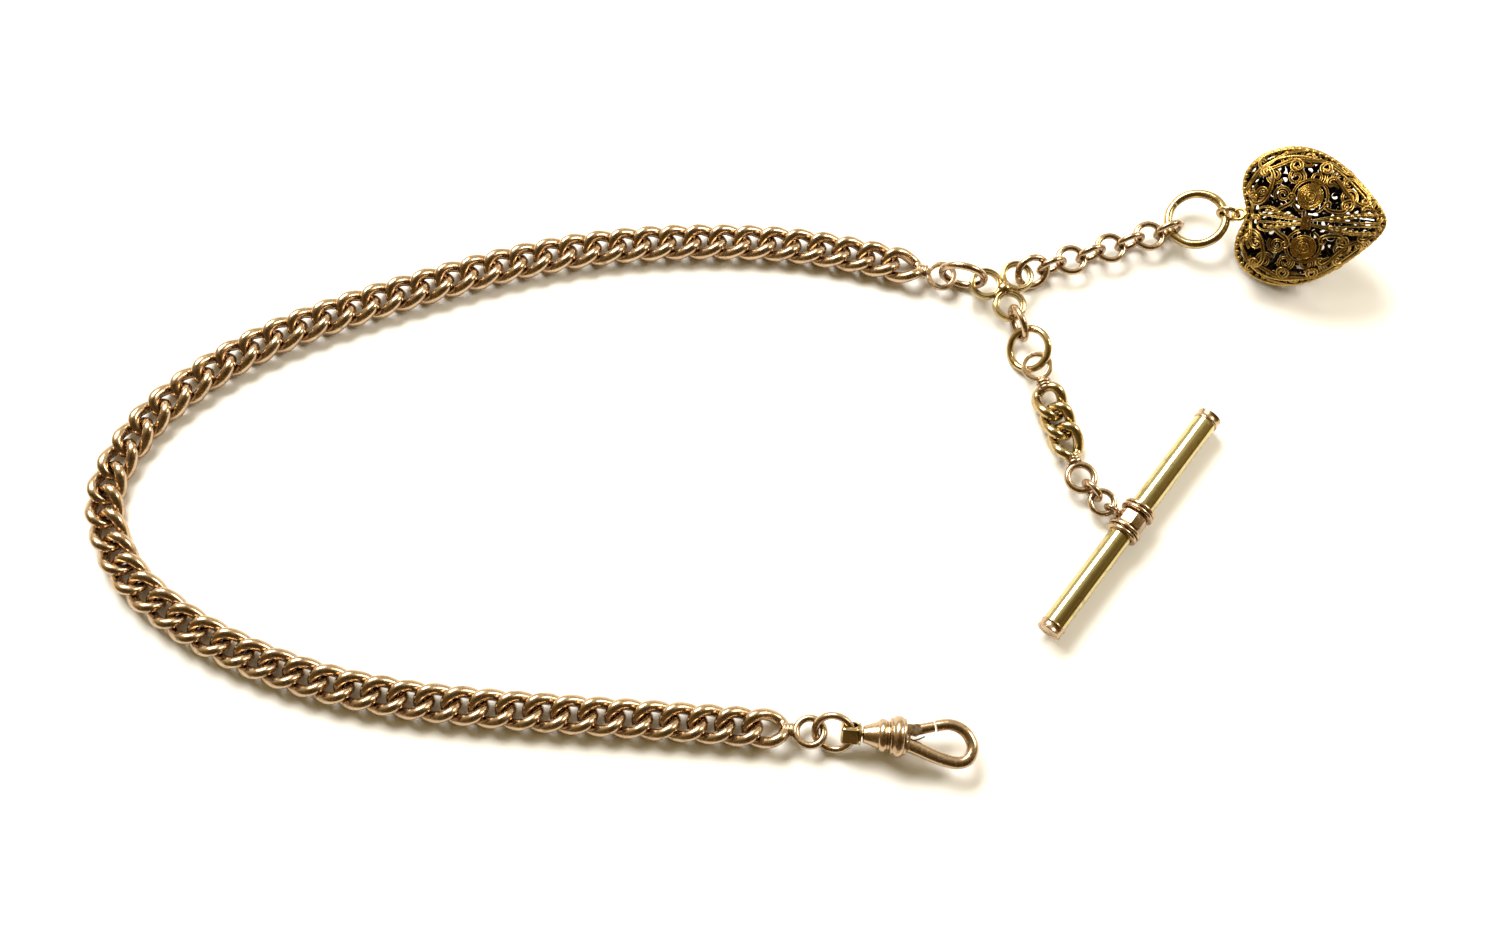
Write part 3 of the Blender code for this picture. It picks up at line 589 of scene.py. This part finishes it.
def build_rings():
    """Every plain wire ring, where the CAD has it."""
    sizes = dict(RINGS)
    sizes.update({f"fob_link_{k}": FOB_LINK for k in range(1, 8)})
    for node, (radius, wire, cut) in sizes.items():
        size = {
            "Half Length": radius, "Half Width": radius, "Wire": wire, "Rise": 0.0,
            "Cut": cut / (2 * math.pi * radius), "Worn": CHARM_RING_DENTS if node == "charm_ring" else 0.07,
        }
        seam = SEAM_HEADINGS.get(node, 200.0)
        place = ring_place(node) @ Matrix.Rotation(math.radians(seam), 4, "Z")
        material = YELLOW_GOLD if node in YELLOW_RINGS else ROSE_GOLD
        wire_loops(node + "_wire", [place], size, material, body_of_node(node), [node])


def build_connector():
    """Three flat rings soldered round a domed stud, each with a rolled bead on its face."""
    ways = [Vector((math.cos(math.radians(h)), math.sin(math.radians(h)), 0.0)) for h in PETAL_HEADINGS]
    centre = Vector((0.0, 0.0, 0.0))
    # The three rings are evenly spread, so the middle of their outer reaches is the stud.
    for way in ways:
        centre += way * (far_point("trefoil_connector", way) - (PETAL_REACH + CAD_PETAL_RADIUS) * MM) * 2 / 3
    centre.z = JOINTS["main_jump_ring_hinge"]["pos_m"][2]
    shapes = []
    for way in ways:
        at = Matrix.Translation(way * PETAL_REACH)
        shapes.append(shifted(washer(PETAL, 0.2), at))
        bead = torus(PETAL[0] - 0.3, 0.42)
        shapes.append(shifted(bead, at @ Matrix.Translation((0.0, 0.0, PETAL[2] / 2 - 0.06))))
    dome = [(-0.3, 0.0), (-0.3, 0.95), (0.35, 0.95), (0.55, 0.85), (0.8, 0.6), (0.93, 0.3), (0.97, 0.0)]
    shapes.append(shifted(lathe(dome, 32), Matrix.Rotation(math.radians(-90), 4, "Y")))
    solid("trefoil_connector_gold", shapes, Matrix.Translation(centre), YELLOW_GOLD, "connector",
          "trefoil_connector")


# ---------------------------------------------------------------- swivel clasp

CLASP_ROLL = 36.0
BARREL_END = 8.2
CHEEK_AT = 0.86     # the ears that hold the gate pin stand this far from the middle


def build_clasp():
    joint = JOINTS["clasp_swivel"]
    axis = Vector(joint["axis"])
    if axis.x < 0:
        axis = -axis
    origin = Vector(joint["pos_m"]) - axis * BARREL_END * MM
    place = place_from(origin, axis, UP)
    rolled = place @ Matrix.Rotation(math.radians(CLASP_ROLL), 4, "X")

    # Swivel eye: a small bored block whose corners are filed off, on a thin flange
    lump = rounded_box((0.0, -1.15, -1.1), (2.3, 1.15, 1.1), 0.52)
    bore = lathe([(-3.0, 0.0), (-3.0, 0.72), (3.0, 0.72), (3.0, 0.0)], 32)
    shifted(bore, Matrix.Translation((1.38, 0.0, 0.0)) @ Matrix.Rotation(math.radians(90), 4, "Z"))
    block = cut_away(lump, bore)
    flange = lathe([
        (2.2, 0.0), (2.2, 1.25), (2.26, 1.36), (2.46, 1.36), (2.52, 1.25), (2.52, 0.42),
        (5.0, 0.42), (5.0, 0.9), (5.7, 0.9), (5.7, 0.0),
    ], 40)
    solid("swivel_eye_gold", [block, flange], rolled, YELLOW_GOLD, "swivel_eye", "swivel_eye")

    # From the flange: cone, small bead, groove, big bead, lip, and the bore for the headed shaft
    barrel = [
        (2.78, 0.72), (2.76, 0.96), (2.84, 1.08), (3.1, 1.16), (3.7, 1.36), (4.3, 1.58), (4.62, 1.72),
        (4.7, 1.86), (4.86, 1.98), (5.1, 2.06), (5.36, 2.06), (5.58, 1.98), (5.7, 1.86),
        (5.8, 1.8), (5.92, 1.84), (6.02, 2.0), (6.08, 2.2), (6.18, 2.3), (6.32, 2.3), (6.38, 2.22),
        (6.46, 2.24), (6.66, 2.46), (6.92, 2.58), (7.2, 2.6), (7.5, 2.52), (7.72, 2.36), (7.78, 2.26),
        (7.86, 2.28), (7.98, 2.28), (8.06, 2.16), (8.12, 1.9), (8.22, 1.62), (8.3, 1.3), (8.3, 0.0),
        (6.0, 0.0), (6.0, 1.25), (4.7, 1.25), (4.7, 0.72),
    ]
    solid("swivel_barrel_gold", [lathe(barrel, 72, closed=True)], place, ROSE_GOLD, "clasp", "swivel_barrel")

    nose = smooth_path([
        (8.1, -0.9, 0), (9.0, -1.15, 0), (10.1, -1.55, 0), (11.6, -2.1, 0), (13.0, -2.5, 0), (14.5, -2.7, 0),
        (15.6, -2.35, 0), (16.2, -1.5, 0), (16.3, -0.4, 0), (15.7, 0.8, 0), (14.8, 1.55, 0), (13.7, 1.9, 0),
        (12.7, 1.85, 0), (11.72, 1.6, 0),
    ], 8)

    def hook_section(share):
        # A strap at the root that rounds off and thins towards the lip
        broad = 2.0 - 0.6 * min(share * 1.6, 1.0)
        thick = 1.75 - 0.3 * share - 0.1 * math.sin(math.pi * share)
        return superellipse(thick, broad, 2.9 - 0.9 * min(share * 1.8, 1.0))

    pin = place.inverted() @ Vector(JOINTS["clasp_gate_hinge"]["pos_m"]) / MM
    cheeks = []
    for side in (-1.0, 1.0):
        ear = lathe([(-0.16, 0.0), (-0.16, 0.6), (-0.08, 0.7), (0.08, 0.7), (0.16, 0.6), (0.16, 0.0)], 28)
        upright = Matrix.Rotation(math.radians(90), 4, "Y")
        cheeks.append(shifted(ear, Matrix.Translation((pin.x, pin.y, side * CHEEK_AT)) @ upright))
        low = (8.0, pin.y - 0.62, side * CHEEK_AT - 0.15)
        high = (pin.x, pin.y + 0.6, side * CHEEK_AT + 0.15)
        cheeks.append(rounded_box(low, high, 0.1))
    root = rounded_box((7.95, -1.75, -1.0), (8.6, 1.4, 1.0), 0.3)
    hook = [swept(nose, hook_section)] + cheeks + [root]
    solid("clasp_hook_gold", hook, place, ROSE_GOLD, "clasp", "clasp_hook")

    tube = smooth_path([(8.75, 0.82, 0), (9.6, 1.04, 0), (10.6, 1.3, 0), (11.5, 1.53, 0)], 6)
    gate = swept(tube, lambda share: superellipse(1.42 - 0.1 * share, 1.4 - 0.1 * share, 2.3))
    solid("clasp_gate_gold", [gate], place, ROSE_GOLD, "clasp_gate", "clasp_gate")
    for node in ("gate_pin", "gate_spring"):
        kept = frame["nodes"][node]
        kept.data.materials.clear()
        kept.data.materials.append(STEEL)


def cut_away(shape, tool):
    """shape with tool cut out of it, both in millimetres."""
    meshes = []
    for item in (shape, tool):
        mesh = bpy.data.meshes.new("cut")
        item.to_mesh(mesh)
        item.free()
        meshes.append(mesh_object("cut", mesh))
    step = meshes[0].modifiers.new("cut", "BOOLEAN")
    step.operation = "DIFFERENCE"
    step.object = meshes[1]
    graph = bpy.context.evaluated_depsgraph_get()
    result = bmesh.new()
    result.from_mesh(bpy.data.meshes.new_from_object(meshes[0].evaluated_get(graph)))
    for item in meshes:
        bpy.data.objects.remove(item, do_unlink=True)
    return result


# ---------------------------------------------------------------- T-bar drop

def build_bar_drop():
    middles = []
    for number in (1, 2, 3):
        node = f"bar_curb_link_{number}"
        middle, axes = axes_of(vertices(node))
        place = place_from(middle, Vector((axes[0].x, axes[0].y, 0.0)), UP)
        middles.append(Vector(middle))
        wire_loops(node + "_wire", [place], BAR_CURB_LINK, YELLOW_GOLD, body_of_node(node), [node])
    onward = (middles[2] - middles[0]).normalized()
    onward.z = 0.0
    build_end_ring("bar_upper_ring", -onward, True, END_RING_LEAN)
    build_end_ring("bar_lower_ring", onward, False)
    build_bar()


BAR_HALF = 18.5


def build_bar():
    """Burnished tube with two turned caps, and the collar that slides on its middle."""
    low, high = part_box("bar_tube")
    axis = Vector(JOINTS["watch_bar_hinge"]["axis"])
    place = place_from((low + high) / 2, axis, UP)
    half = BAR_HALF - 1.1
    tube = lathe([(-half, 0.0), (-half, 1.53), (half, 1.53), (half, 0.0)], 72)
    solid("bar_tube_gold", [tube], place, BAR_GOLD, "watch_bar", "bar_tube")
    # A cap's skirt, its two turned rims, and its dished end
    line = [
        (17.2, 0.0), (17.2, 1.6), (17.26, 1.68), (17.38, 1.7), (17.46, 1.64), (17.52, 1.6), (18.15, 1.6),
        (18.22, 1.64), (18.34, 1.66), (18.44, 1.58), (BAR_HALF, 1.44), (18.46, 1.3), (18.36, 1.2),
        (18.36, 0.0),
    ]
    for node, side in (("bar_cap_upper", 1.0), ("bar_cap_lower", -1.0)):
        cap = lathe([(side * x, r) for x, r in line], 64)
        solid(node + "_gold", [cap], place, ROSE_GOLD, "watch_bar", node)

    shapes = []
    waist = rounded([(-1.2, 1.54), (1.2, 1.54), (1.2, 1.72), (0.8, 1.9), (-0.8, 1.9), (-1.2, 1.72)], 0.08, 3)
    shapes.append(lathe(waist, 8, closed=True))
    for x, r in ((-2.1, 2.15), (-1.45, 2.25), (1.45, 2.25), (2.1, 2.15)):
        ring = rounded([(x - 0.24, 1.54), (x + 0.24, 1.54), (x + 0.24, r), (x - 0.24, r)], 0.2)
        shapes.append(lathe(ring, 64, closed=True))
    towards = Vector(ring_place("bar_ring").translation) - place.translation
    level = towards.dot(place.to_3x3().col[2]) / MM
    side = 1.0 if towards.dot(place.to_3x3().col[1]) > 0 else -1.0
    eye = torus(0.95, 0.55, 40, 12)
    shifted(eye, Matrix.Translation((0.0, side * 2.75, level)) @ Matrix.Rotation(math.radians(90), 4, "Y"))
    shapes.append(eye)
    solid("bar_collar_gold", shapes, place, ROSE_GOLD, "watch_bar", "bar_collar", sharp=30.0)


# ---------------------------------------------------------------- filigree heart

HEART_LONG = 18.2
HEART_WIDE = 18.0
HEART_RISE = {1.0: 5.1, -1.0: 4.5}
HEART_SEAM = 0.25
HEART_EYE = (0.8, 0.48)   # radius at the middle of its wire, wire thickness
MEDALLION = (-0.7, 3.2)


def heart_outline(steps=180):
    """The seam's outline: the cleft at -X, the tip at +X."""
    raw = []
    for k in range(steps):
        t = 2 * math.pi * k / steps
        x = -(13 * math.cos(t) - 2.3 * math.cos(2 * t) - 1.0 * math.cos(3 * t) - 0.5 * math.cos(4 * t))
        raw.append((x, -(0.6 * math.sin(t) + 0.4 * math.sin(t) ** 3) * HEART_WIDE / 2))
    raw = np.array(raw)
    low, high = raw[:, 0].min(), raw[:, 0].max()
    raw[:, 0] = (raw[:, 0] - low) * HEART_LONG / (high - low) - HEART_LONG / 2
    return raw


OUTLINE = heart_outline()
OUTLINE_TURNS = np.arctan2(OUTLINE[:, 1], OUTLINE[:, 0])
OUTLINE_ORDER = np.argsort(OUTLINE_TURNS)


def reach_at(turns):
    """From the heart's middle to its outline, in each direction."""
    ordered = OUTLINE[OUTLINE_ORDER]
    return np.interp(turns, OUTLINE_TURNS[OUTLINE_ORDER], np.hypot(*ordered.T), period=2 * math.pi)


def dome(points, side, lift=0.0):
    """Flat points raised onto the puffed face, with the face's outward direction at each."""
    edge = reach_at(np.arctan2(points[:, 1], points[:, 0]))
    reach = np.hypot(points[:, 0], points[:, 1])
    share = np.clip(reach / edge, 0.0, 0.985)
    flat = points * (share * edge / np.maximum(reach, 1e-9))[:, None]
    fall = np.sqrt(1.0 - share ** 2)
    rise = HEART_RISE[side]
    raised = np.column_stack([flat, HEART_SEAM + rise * fall])
    slope = rise * share / (fall * edge)
    way = flat / np.maximum(np.hypot(flat[:, 0], flat[:, 1]), 1e-9)[:, None]
    out = np.column_stack([way * slope[:, None], np.ones(len(points))])
    out /= np.linalg.norm(out, axis=1)[:, None]
    return raised + out * lift, out


def volute(x, y, heading, length, bend, curl, s_shape=False, steps=64):
    """A scroll whose middle is at (x, y): gently bent there, and curled tighter towards both ends."""
    u = np.linspace(-1.0, 1.0, steps)
    size = np.abs(u)
    turn = bend * size + curl * size ** 3
    if not s_shape:
        turn = turn * np.sign(u)
    turn = turn + math.radians(heading)
    step = length / (steps - 1)
    line = np.column_stack([np.cumsum(np.cos(turn)), np.cumsum(np.sin(turn))]) * step
    return line - line[steps // 2] + np.array([x, y])


def arc(x, y, radius, start=0.0, end=360.0, steps=40, squash=1.0):
    turns = np.radians(np.linspace(start, end, steps))
    return np.column_stack([x + radius * np.cos(turns), y + radius * squash * np.sin(turns)])


def bent(points, steps=24):
    """A smooth flat line through a few points."""
    line = smooth_path([Vector((x, y, 0.0)) for x, y in points], max(2, steps // (len(points) - 1)))
    return np.array([(p.x, p.y) for p in line])


def filigree_tree():
    """Stamped strip and beads along every line of a mesh, standing on the point's "out" direction."""
    tree, given = new_tree("filigree", {
        "Profile": "Object", "Bead": "Float", "Spacing": "Float", "Material": "Material",
    })
    out = add(tree, "GeometryNodeInputNamedAttribute", {"Name": "out"}, data_type="FLOAT_VECTOR")
    lines = add(tree, "GeometryNodeMeshToCurve", {"Mesh": given["Geometry"]})
    upright = add(tree, "GeometryNodeSetCurveNormal", {
        "Curve": lines.outputs["Curve"], "Normal": out.outputs["Attribute"],
    }, mode="FREE")
    shape = add(tree, "GeometryNodeObjectInfo", {"Object": given["Profile"]})
    section = add(tree, "GeometryNodeMeshToCurve", {"Mesh": shape.outputs["Geometry"]})
    strip = add(tree, "GeometryNodeCurveToMesh", {
        "Curve": upright.outputs["Curve"], "Profile Curve": section.outputs["Curve"], "Fill Caps": True,
    })
    even = add(tree, "GeometryNodeResampleCurve", {
        "Curve": lines.outputs["Curve"], "Length": given["Spacing"],
    }, mode="LENGTH")
    grain = add(tree, "GeometryNodeMeshUVSphere", {"Segments": 8, "Rings": 5, "Radius": given["Bead"]})
    crest = add(tree, "GeometryNodeStoreNamedAttribute", {
        "Geometry": grain.outputs["Mesh"], "Name": "crest", "Value": 0.8,
    }, data_type="FLOAT", domain="POINT")
    grains = add(tree, "GeometryNodeInstanceOnPoints", {
        "Points": even.outputs["Curve"], "Instance": crest.outputs["Geometry"],
    })
    some = add(tree, "FunctionNodeCompare", {"A": given["Bead"], "B": 0.0}, operation="GREATER_THAN")
    beads = add(tree, "GeometryNodeSwitch", {
        "Switch": some.outputs[0], "True": grains.outputs["Instances"],
    }, input_type="GEOMETRY")
    both = add(tree, "GeometryNodeJoinGeometry")
    tree.links.new(strip.outputs["Mesh"], both.inputs[0])
    tree.links.new(beads.outputs[0], both.inputs[0])
    real = add(tree, "GeometryNodeRealizeInstances", {"Geometry": both.outputs[0]})
    done = add(tree, "GeometryNodeSetMaterial", {"Geometry": real.outputs[0], "Material": given["Material"]})
    add(tree, "NodeGroupOutput", {"Geometry": done.outputs[0]})
    return tree


FILIGREE = filigree_tree()


def profile_object(name, points):
    """A closed section for the strip: (up, sideways) points in millimetres, with a crest from 0 to 1."""
    count = len(points)
    top = max(up for up, _ in points)
    low = min(up for up, _ in points)
    # Where the crest is low, the gilt material paints shade on the strip, and oxide in its sunk channel.
    crest = [(up - low) / (top - low) for up, _ in points]
    edges = [(k, (k + 1) % count) for k in range(count)]
    places = [(up * MM, side * MM, 0.0) for up, side in points]
    return mesh_object(name, points_mesh(name, places, edges, crest=crest))


def strip_profile(wide, high):
    """A stamped strip: two rolled edges with a sunk channel between them."""
    w, h = wide / 2, high
    half = [(-h / 2, w * 0.86), (0.0, w), (h * 0.32, w * 0.93), (h / 2, w * 0.72), (h * 0.34, w * 0.48),
            (0.02, w * 0.26)]
    return half + [(up, -side) for up, side in half[::-1]]


def filigree(name, side, lines, profile, material, bead=0.0, spacing=0.5, lift=0.0):
    """Lines in the heart's flat plan, raised onto its front (side 1) or back (side -1) and given metal."""
    points, outs, edges = [], [], []
    for line in lines:
        raised, out = dome(np.array(line), side, lift)
        start = len(points)
        points += [(x, y, side * z) for x, y, z in raised]
        outs += [(x, y, side * z) for x, y, z in out]
        edges += [(start + k, start + k + 1) for k in range(len(line) - 1)]
    place = HEART_PLACE @ Matrix.Scale(MM, 4)
    turn = HEART_PLACE.to_3x3()
    mesh = points_mesh(name, [place @ Vector(p) for p in points], edges, out=[turn @ Vector(o) for o in outs])
    values = {"Profile": profile, "Bead": bead * MM, "Spacing": spacing * MM, "Material": material}
    return grown(name, mesh, FILIGREE, values)


def heart_place():
    """The heart's own place: X from its cleft to its tip, Z out of its front."""
    front, back = vertices("heart_front"), vertices("heart_back")
    normal = Vector(front.mean(0) - back.mean(0)).normalized()
    upward = np.array(normal)
    top = Vector(front[np.argmax(front @ upward)])
    bottom = Vector(back[np.argmin(back @ upward)])
    middle = (top + bottom) / 2
    axes = axes_of(np.concatenate([front, back]))[1]
    eye = Vector(vertices("heart_eye").mean(0))
    tip_way = max(axes, key=lambda axis: abs(axis.dot(middle - eye)))
    if tip_way.dot(middle - eye) < 0:
        tip_way = -tip_way
    return place_from(middle, tip_way, normal)


HEART_PLACE = heart_place()


def gap_curls(across, along, clear):
    """Small spirals in staggered rows over the +Y lobe, kept clear of the medallion and the ribbon."""
    made = []
    for row in range(6):
        for column in range(-5, 6):
            x, y = across * (column + 0.5 * (row % 2)), 1.0 + along * row
            crowded = math.hypot(x - MEDALLION[0], y - MEDALLION[1]) < clear or y < 0.9 * clear
            if crowded or math.hypot(x, y) > reach_at(math.atan2(y, x)) - 1.0:
                continue
            turns = np.radians(np.linspace(0, 560, 30)) * (-1) ** column + 2.1 * row + 0.9 * column
            size = np.linspace(0.22, 1.12, 30)
            made.append(np.column_stack([x + size * np.cos(turns), y + size * np.sin(turns)]))
    return made


def mirrored(lines):
    return lines + [np.column_stack([line[:, 0], -line[:, 1]]) for line in lines]


def build_heart():
    wide = profile_object("wide_strip", strip_profile(0.52, 0.55))
    narrow = profile_object("narrow_strip", strip_profile(0.4, 0.46))
    fine = profile_object("fine_strip", strip_profile(0.26, 0.3))
    wire = profile_object("round_strip", [
        (0.2 * math.cos(2 * math.pi * k / 8), 0.2 * math.sin(2 * math.pi * k / 8)) for k in range(8)
    ])
    rim = profile_object("rim_strip", strip_profile(0.6, 0.6))

    # Scrolls, as (x, y, heading, length, bend, curl, S shape), for the +Y lobe
    scrolls = [volute(*s) for s in [
        (-5.6, 3.9, 75.0, 9.5, 0.5, 5.6, False),
        (-7.7, 5.0, 62.0, 6.5, 0.3, -5.2, False),
        (-4.6, 6.9, 25.0, 8.0, 0.3, -5.2, True),
        (-0.8, 7.5, -3.0, 8.0, 0.3, -5.4, False),
        (2.6, 6.5, -35.0, 7.5, 0.3, 5.2, True),
        (3.5, 4.0, -50.0, 7.5, 0.4, -5.4, False),
        (5.4, 4.3, -42.0, 6.5, 0.3, -5.2, False),
        (5.4, 2.4, -25.0, 6.5, 0.3, 5.2, True),
        (7.4, 1.6, -30.0, 4.5, 0.3, -5.0, False),
        (2.6, 1.5, -5.0, 5.0, 0.4, 4.8, False),
        (-3.5, 1.9, 30.0, 5.5, 0.4, 5.2, True),
        (-7.3, 2.0, 85.0, 6.5, 0.3, -5.0, False),
    ]]
    medallion = arc(*MEDALLION, 2.15, -60.0, 250.0)
    back_curls = gap_curls(1.95, 1.7, 0.0)
    front_curls = gap_curls(2.7, 2.3, 2.3)
    leaves = [
        bent([(-7.2, 5.2), (-6.0, 7.0), (-4.0, 8.3), (-1.5, 8.75)]),
        bent([(3.4, 6.6), (5.4, 4.9), (7.2, 3.0)]),
    ]
    ribbon = []
    for spread in (0.3, 1.7):
        ribbon.append(bent([
            (-0.2, 0.25), (2.4, 0.3 + 0.35 * spread), (5.4, 0.75 * spread), (8.2, 0.72 * spread),
        ]))
    ribbon.append(bent([(-1.3, 0.25), (-3.0, 0.6), (-5.2, 1.5), (-6.4, 1.25), (-6.3, 0.55), (-4.6, 0.35),
                        (-1.4, 0.2)], 36))
    seams = OUTLINE * 0.985
    loop = [np.concatenate([seams, seams[:1]])]
    inner_rim = [np.concatenate([OUTLINE * 0.9, OUTLINE[:1] * 0.9])]

    for shell, side in (("heart_front", 1.0), ("heart_back", -1.0)):
        made = [
            filigree(shell + "_scrolls", side, mirrored(scrolls), wide, OLD_GILT, lift=0.12),
            filigree(shell + "_curls", side, mirrored(front_curls if side > 0 else back_curls),
                     narrow if side > 0 else wide, OLD_GILT, lift=-0.15),
            filigree(shell + "_leaves", side, mirrored(leaves + [medallion]), narrow, OLD_GILT),
            filigree(shell + "_ribbon", side, mirrored(ribbon), fine, OLD_GILT, lift=0.3),
            filigree(shell + "_ribbon_beads", side, mirrored([
                bent([(2.2, 0.45), (5.0, 1.0), (7.6, 1.15)]), bent([(-2.6, 0.55), (-4.4, 0.95), (-5.6, 1.0)]),
            ]), fine, OLD_GILT, 0.34, 0.8, 0.2),
            filigree(shell + "_rim", side, loop, rim, OLD_GILT, 0.4, 0.86),
            filigree(shell + "_inner_rim", side, inner_rim, wire, OLD_GILT, 0.22, 0.5),
        ]
        discs = [arc(*MEDALLION, 1.4), arc(*MEDALLION, 0.98)]
        made.append(filigree(shell + "_rosettes", side, mirrored(discs), narrow, BRIGHT_GILT, lift=0.3))
        centre = [arc(*MEDALLION, 0.5, steps=28), arc(*MEDALLION, 0.15, steps=14)]
        made.append(filigree(shell + "_rosette_eyes", side, mirrored(centre), narrow, BRIGHT_GILT, lift=0.5))
        knot = [bent([(-0.75 + d, -0.85), (-0.8 + d, 0.0), (-0.75 + d, 0.85)], 12) for d in (-0.4, 0.0, 0.4)]
        made.append(filigree(shell + "_knot", side, knot, narrow, BRIGHT_GILT, lift=0.55))
        for piece in made:
            hand_over(piece, "heart", "antiqued_gilt")
        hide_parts(shell)

    for profile in (wide, narrow, fine, wire, rim):
        bpy.data.objects.remove(profile, do_unlink=True)

    # The eye: a small soldered loop in the cleft
    radius, wire_thick = HEART_EYE
    cleft = HEART_PLACE @ Vector((-7.9 * MM, 0.0, 0.0))
    low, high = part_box("heart_eye")
    middle = (low + high) / 2
    ring_at = Vector((low.x + (radius + 0.21) * MM, middle.y, middle.z))
    place = place_from(ring_at, cleft - middle, UP)
    stub = rounded_box((0.7, -0.35, -0.35), (1.9, 0.35, 0.35), 0.12)
    loop = torus(radius, wire_thick, 36, 12)
    solid("heart_eye_gilt", [loop, stub], place, BRIGHT_GILT, "heart", "heart_eye")


# ---------------------------------------------------------------- setting

def build_stage():
    """A white board under soft light from behind, with a warm room around."""
    made, tree, shader = new_material("white_laminate_board")
    shader.inputs["Metallic"].default_value = 0.0
    place = add(tree, "ShaderNodeTexCoord").outputs["Object"]
    cloud = add(tree, "ShaderNodeTexNoise", {"Vector": place, "Scale": 1 / (60 * MM), "Detail": 3.0})
    tone = ramp(tree, cloud.outputs["Fac"], [(0.3, "#F4F2EE"), (0.7, "#F8F7F4")])
    tree.links.new(tone, shader.inputs["Base Color"])
    shader.inputs["Roughness"].default_value = 0.55
    shader.inputs["Specular IOR Level"].default_value = 0.2
    mesh = bpy.data.meshes.new("board")
    mesh.from_pydata([(-2, -2, 0), (2, -2, 0), (2, 2, 0), (-2, 2, 0)], [], [(0, 1, 2, 3)])
    mesh.materials.append(made)
    board = mesh_object("board", mesh, Matrix.Translation((0.0, 0.0, -0.00006)))

    def lamp(name, where, aim, size, power, colour):
        light = bpy.data.lights.new(name, "AREA")
        light.shape = "RECTANGLE"
        light.size, light.size_y = size[0] * MM, size[1] * MM
        light.energy = power
        light.color = linear(colour)[:3]
        holder = bpy.data.objects.new(name, light)
        bpy.context.scene.collection.objects.link(holder)
        holder.location = Vector(where) * MM
        way = Vector(aim) * MM - holder.location
        holder.rotation_euler = way.to_track_quat("-Z", "Y").to_euler()

    lamp("window", (-150, 290, 330), (10, 0, 0), (330, 220), 4.4, "#FFFDF8")
    lamp("side_card", (330, 120, 240), (0, 0, 0), (120, 160), 1.0, "#FFF8EC")

    world = bpy.data.worlds.new("room")
    world.use_nodes = True
    tree = world.node_tree
    tree.nodes.clear()
    around = add(tree, "ShaderNodeTexCoord").outputs["Generated"]
    way = add(tree, "ShaderNodeSeparateXYZ", {"Vector": around})
    back = add(tree, "ShaderNodeMapRange", {
        "Value": way.outputs["Y"], "From Min": -0.5, "From Max": 0.7, "To Min": 0.0, "To Max": 1.0,
    }, interpolation_type="SMOOTHSTEP")
    colour = ramp(tree, back.outputs["Result"], [(0.0, "#77623C"), (0.45, "#BCA56C"), (1.0, "#FFF8E0")])
    # The darkest patch leans forward and to the right, where a person stands.
    lean = add(tree, "ShaderNodeVectorMath", {0: around, 1: (0.2, -0.4, 1.0)}, operation="DOT_PRODUCT")
    overhead = add(tree, "ShaderNodeMapRange", {
        "Value": lean.outputs["Value"], "From Min": 0.8, "From Max": 0.95, "To Min": 0.92, "To Max": 0.5,
    }, interpolation_type="SMOOTHSTEP")
    glow = add(tree, "ShaderNodeBackground", {"Color": colour, "Strength": overhead.outputs["Result"]})
    add(tree, "ShaderNodeOutputWorld", {"Surface": glow.outputs["Background"]})
    bpy.context.scene.world = world

    data = bpy.data.cameras.new("camera")
    data.lens = 36.0
    data.sensor_width = 36.0
    data.clip_start = 0.01
    camera = bpy.data.objects.new("camera", data)
    bpy.context.scene.collection.objects.link(camera)
    camera.location = Vector((1.21, -59.51, 189.3)) * MM
    camera.rotation_euler = (math.radians(17.0), 0.0, 0.0)
    bpy.context.scene.camera = camera
    bpy.context.scene.view_settings.view_transform = "Standard"


build_main_chain()
build_rings()
build_connector()
build_clasp()
build_bar_drop()
build_heart()
build_stage()
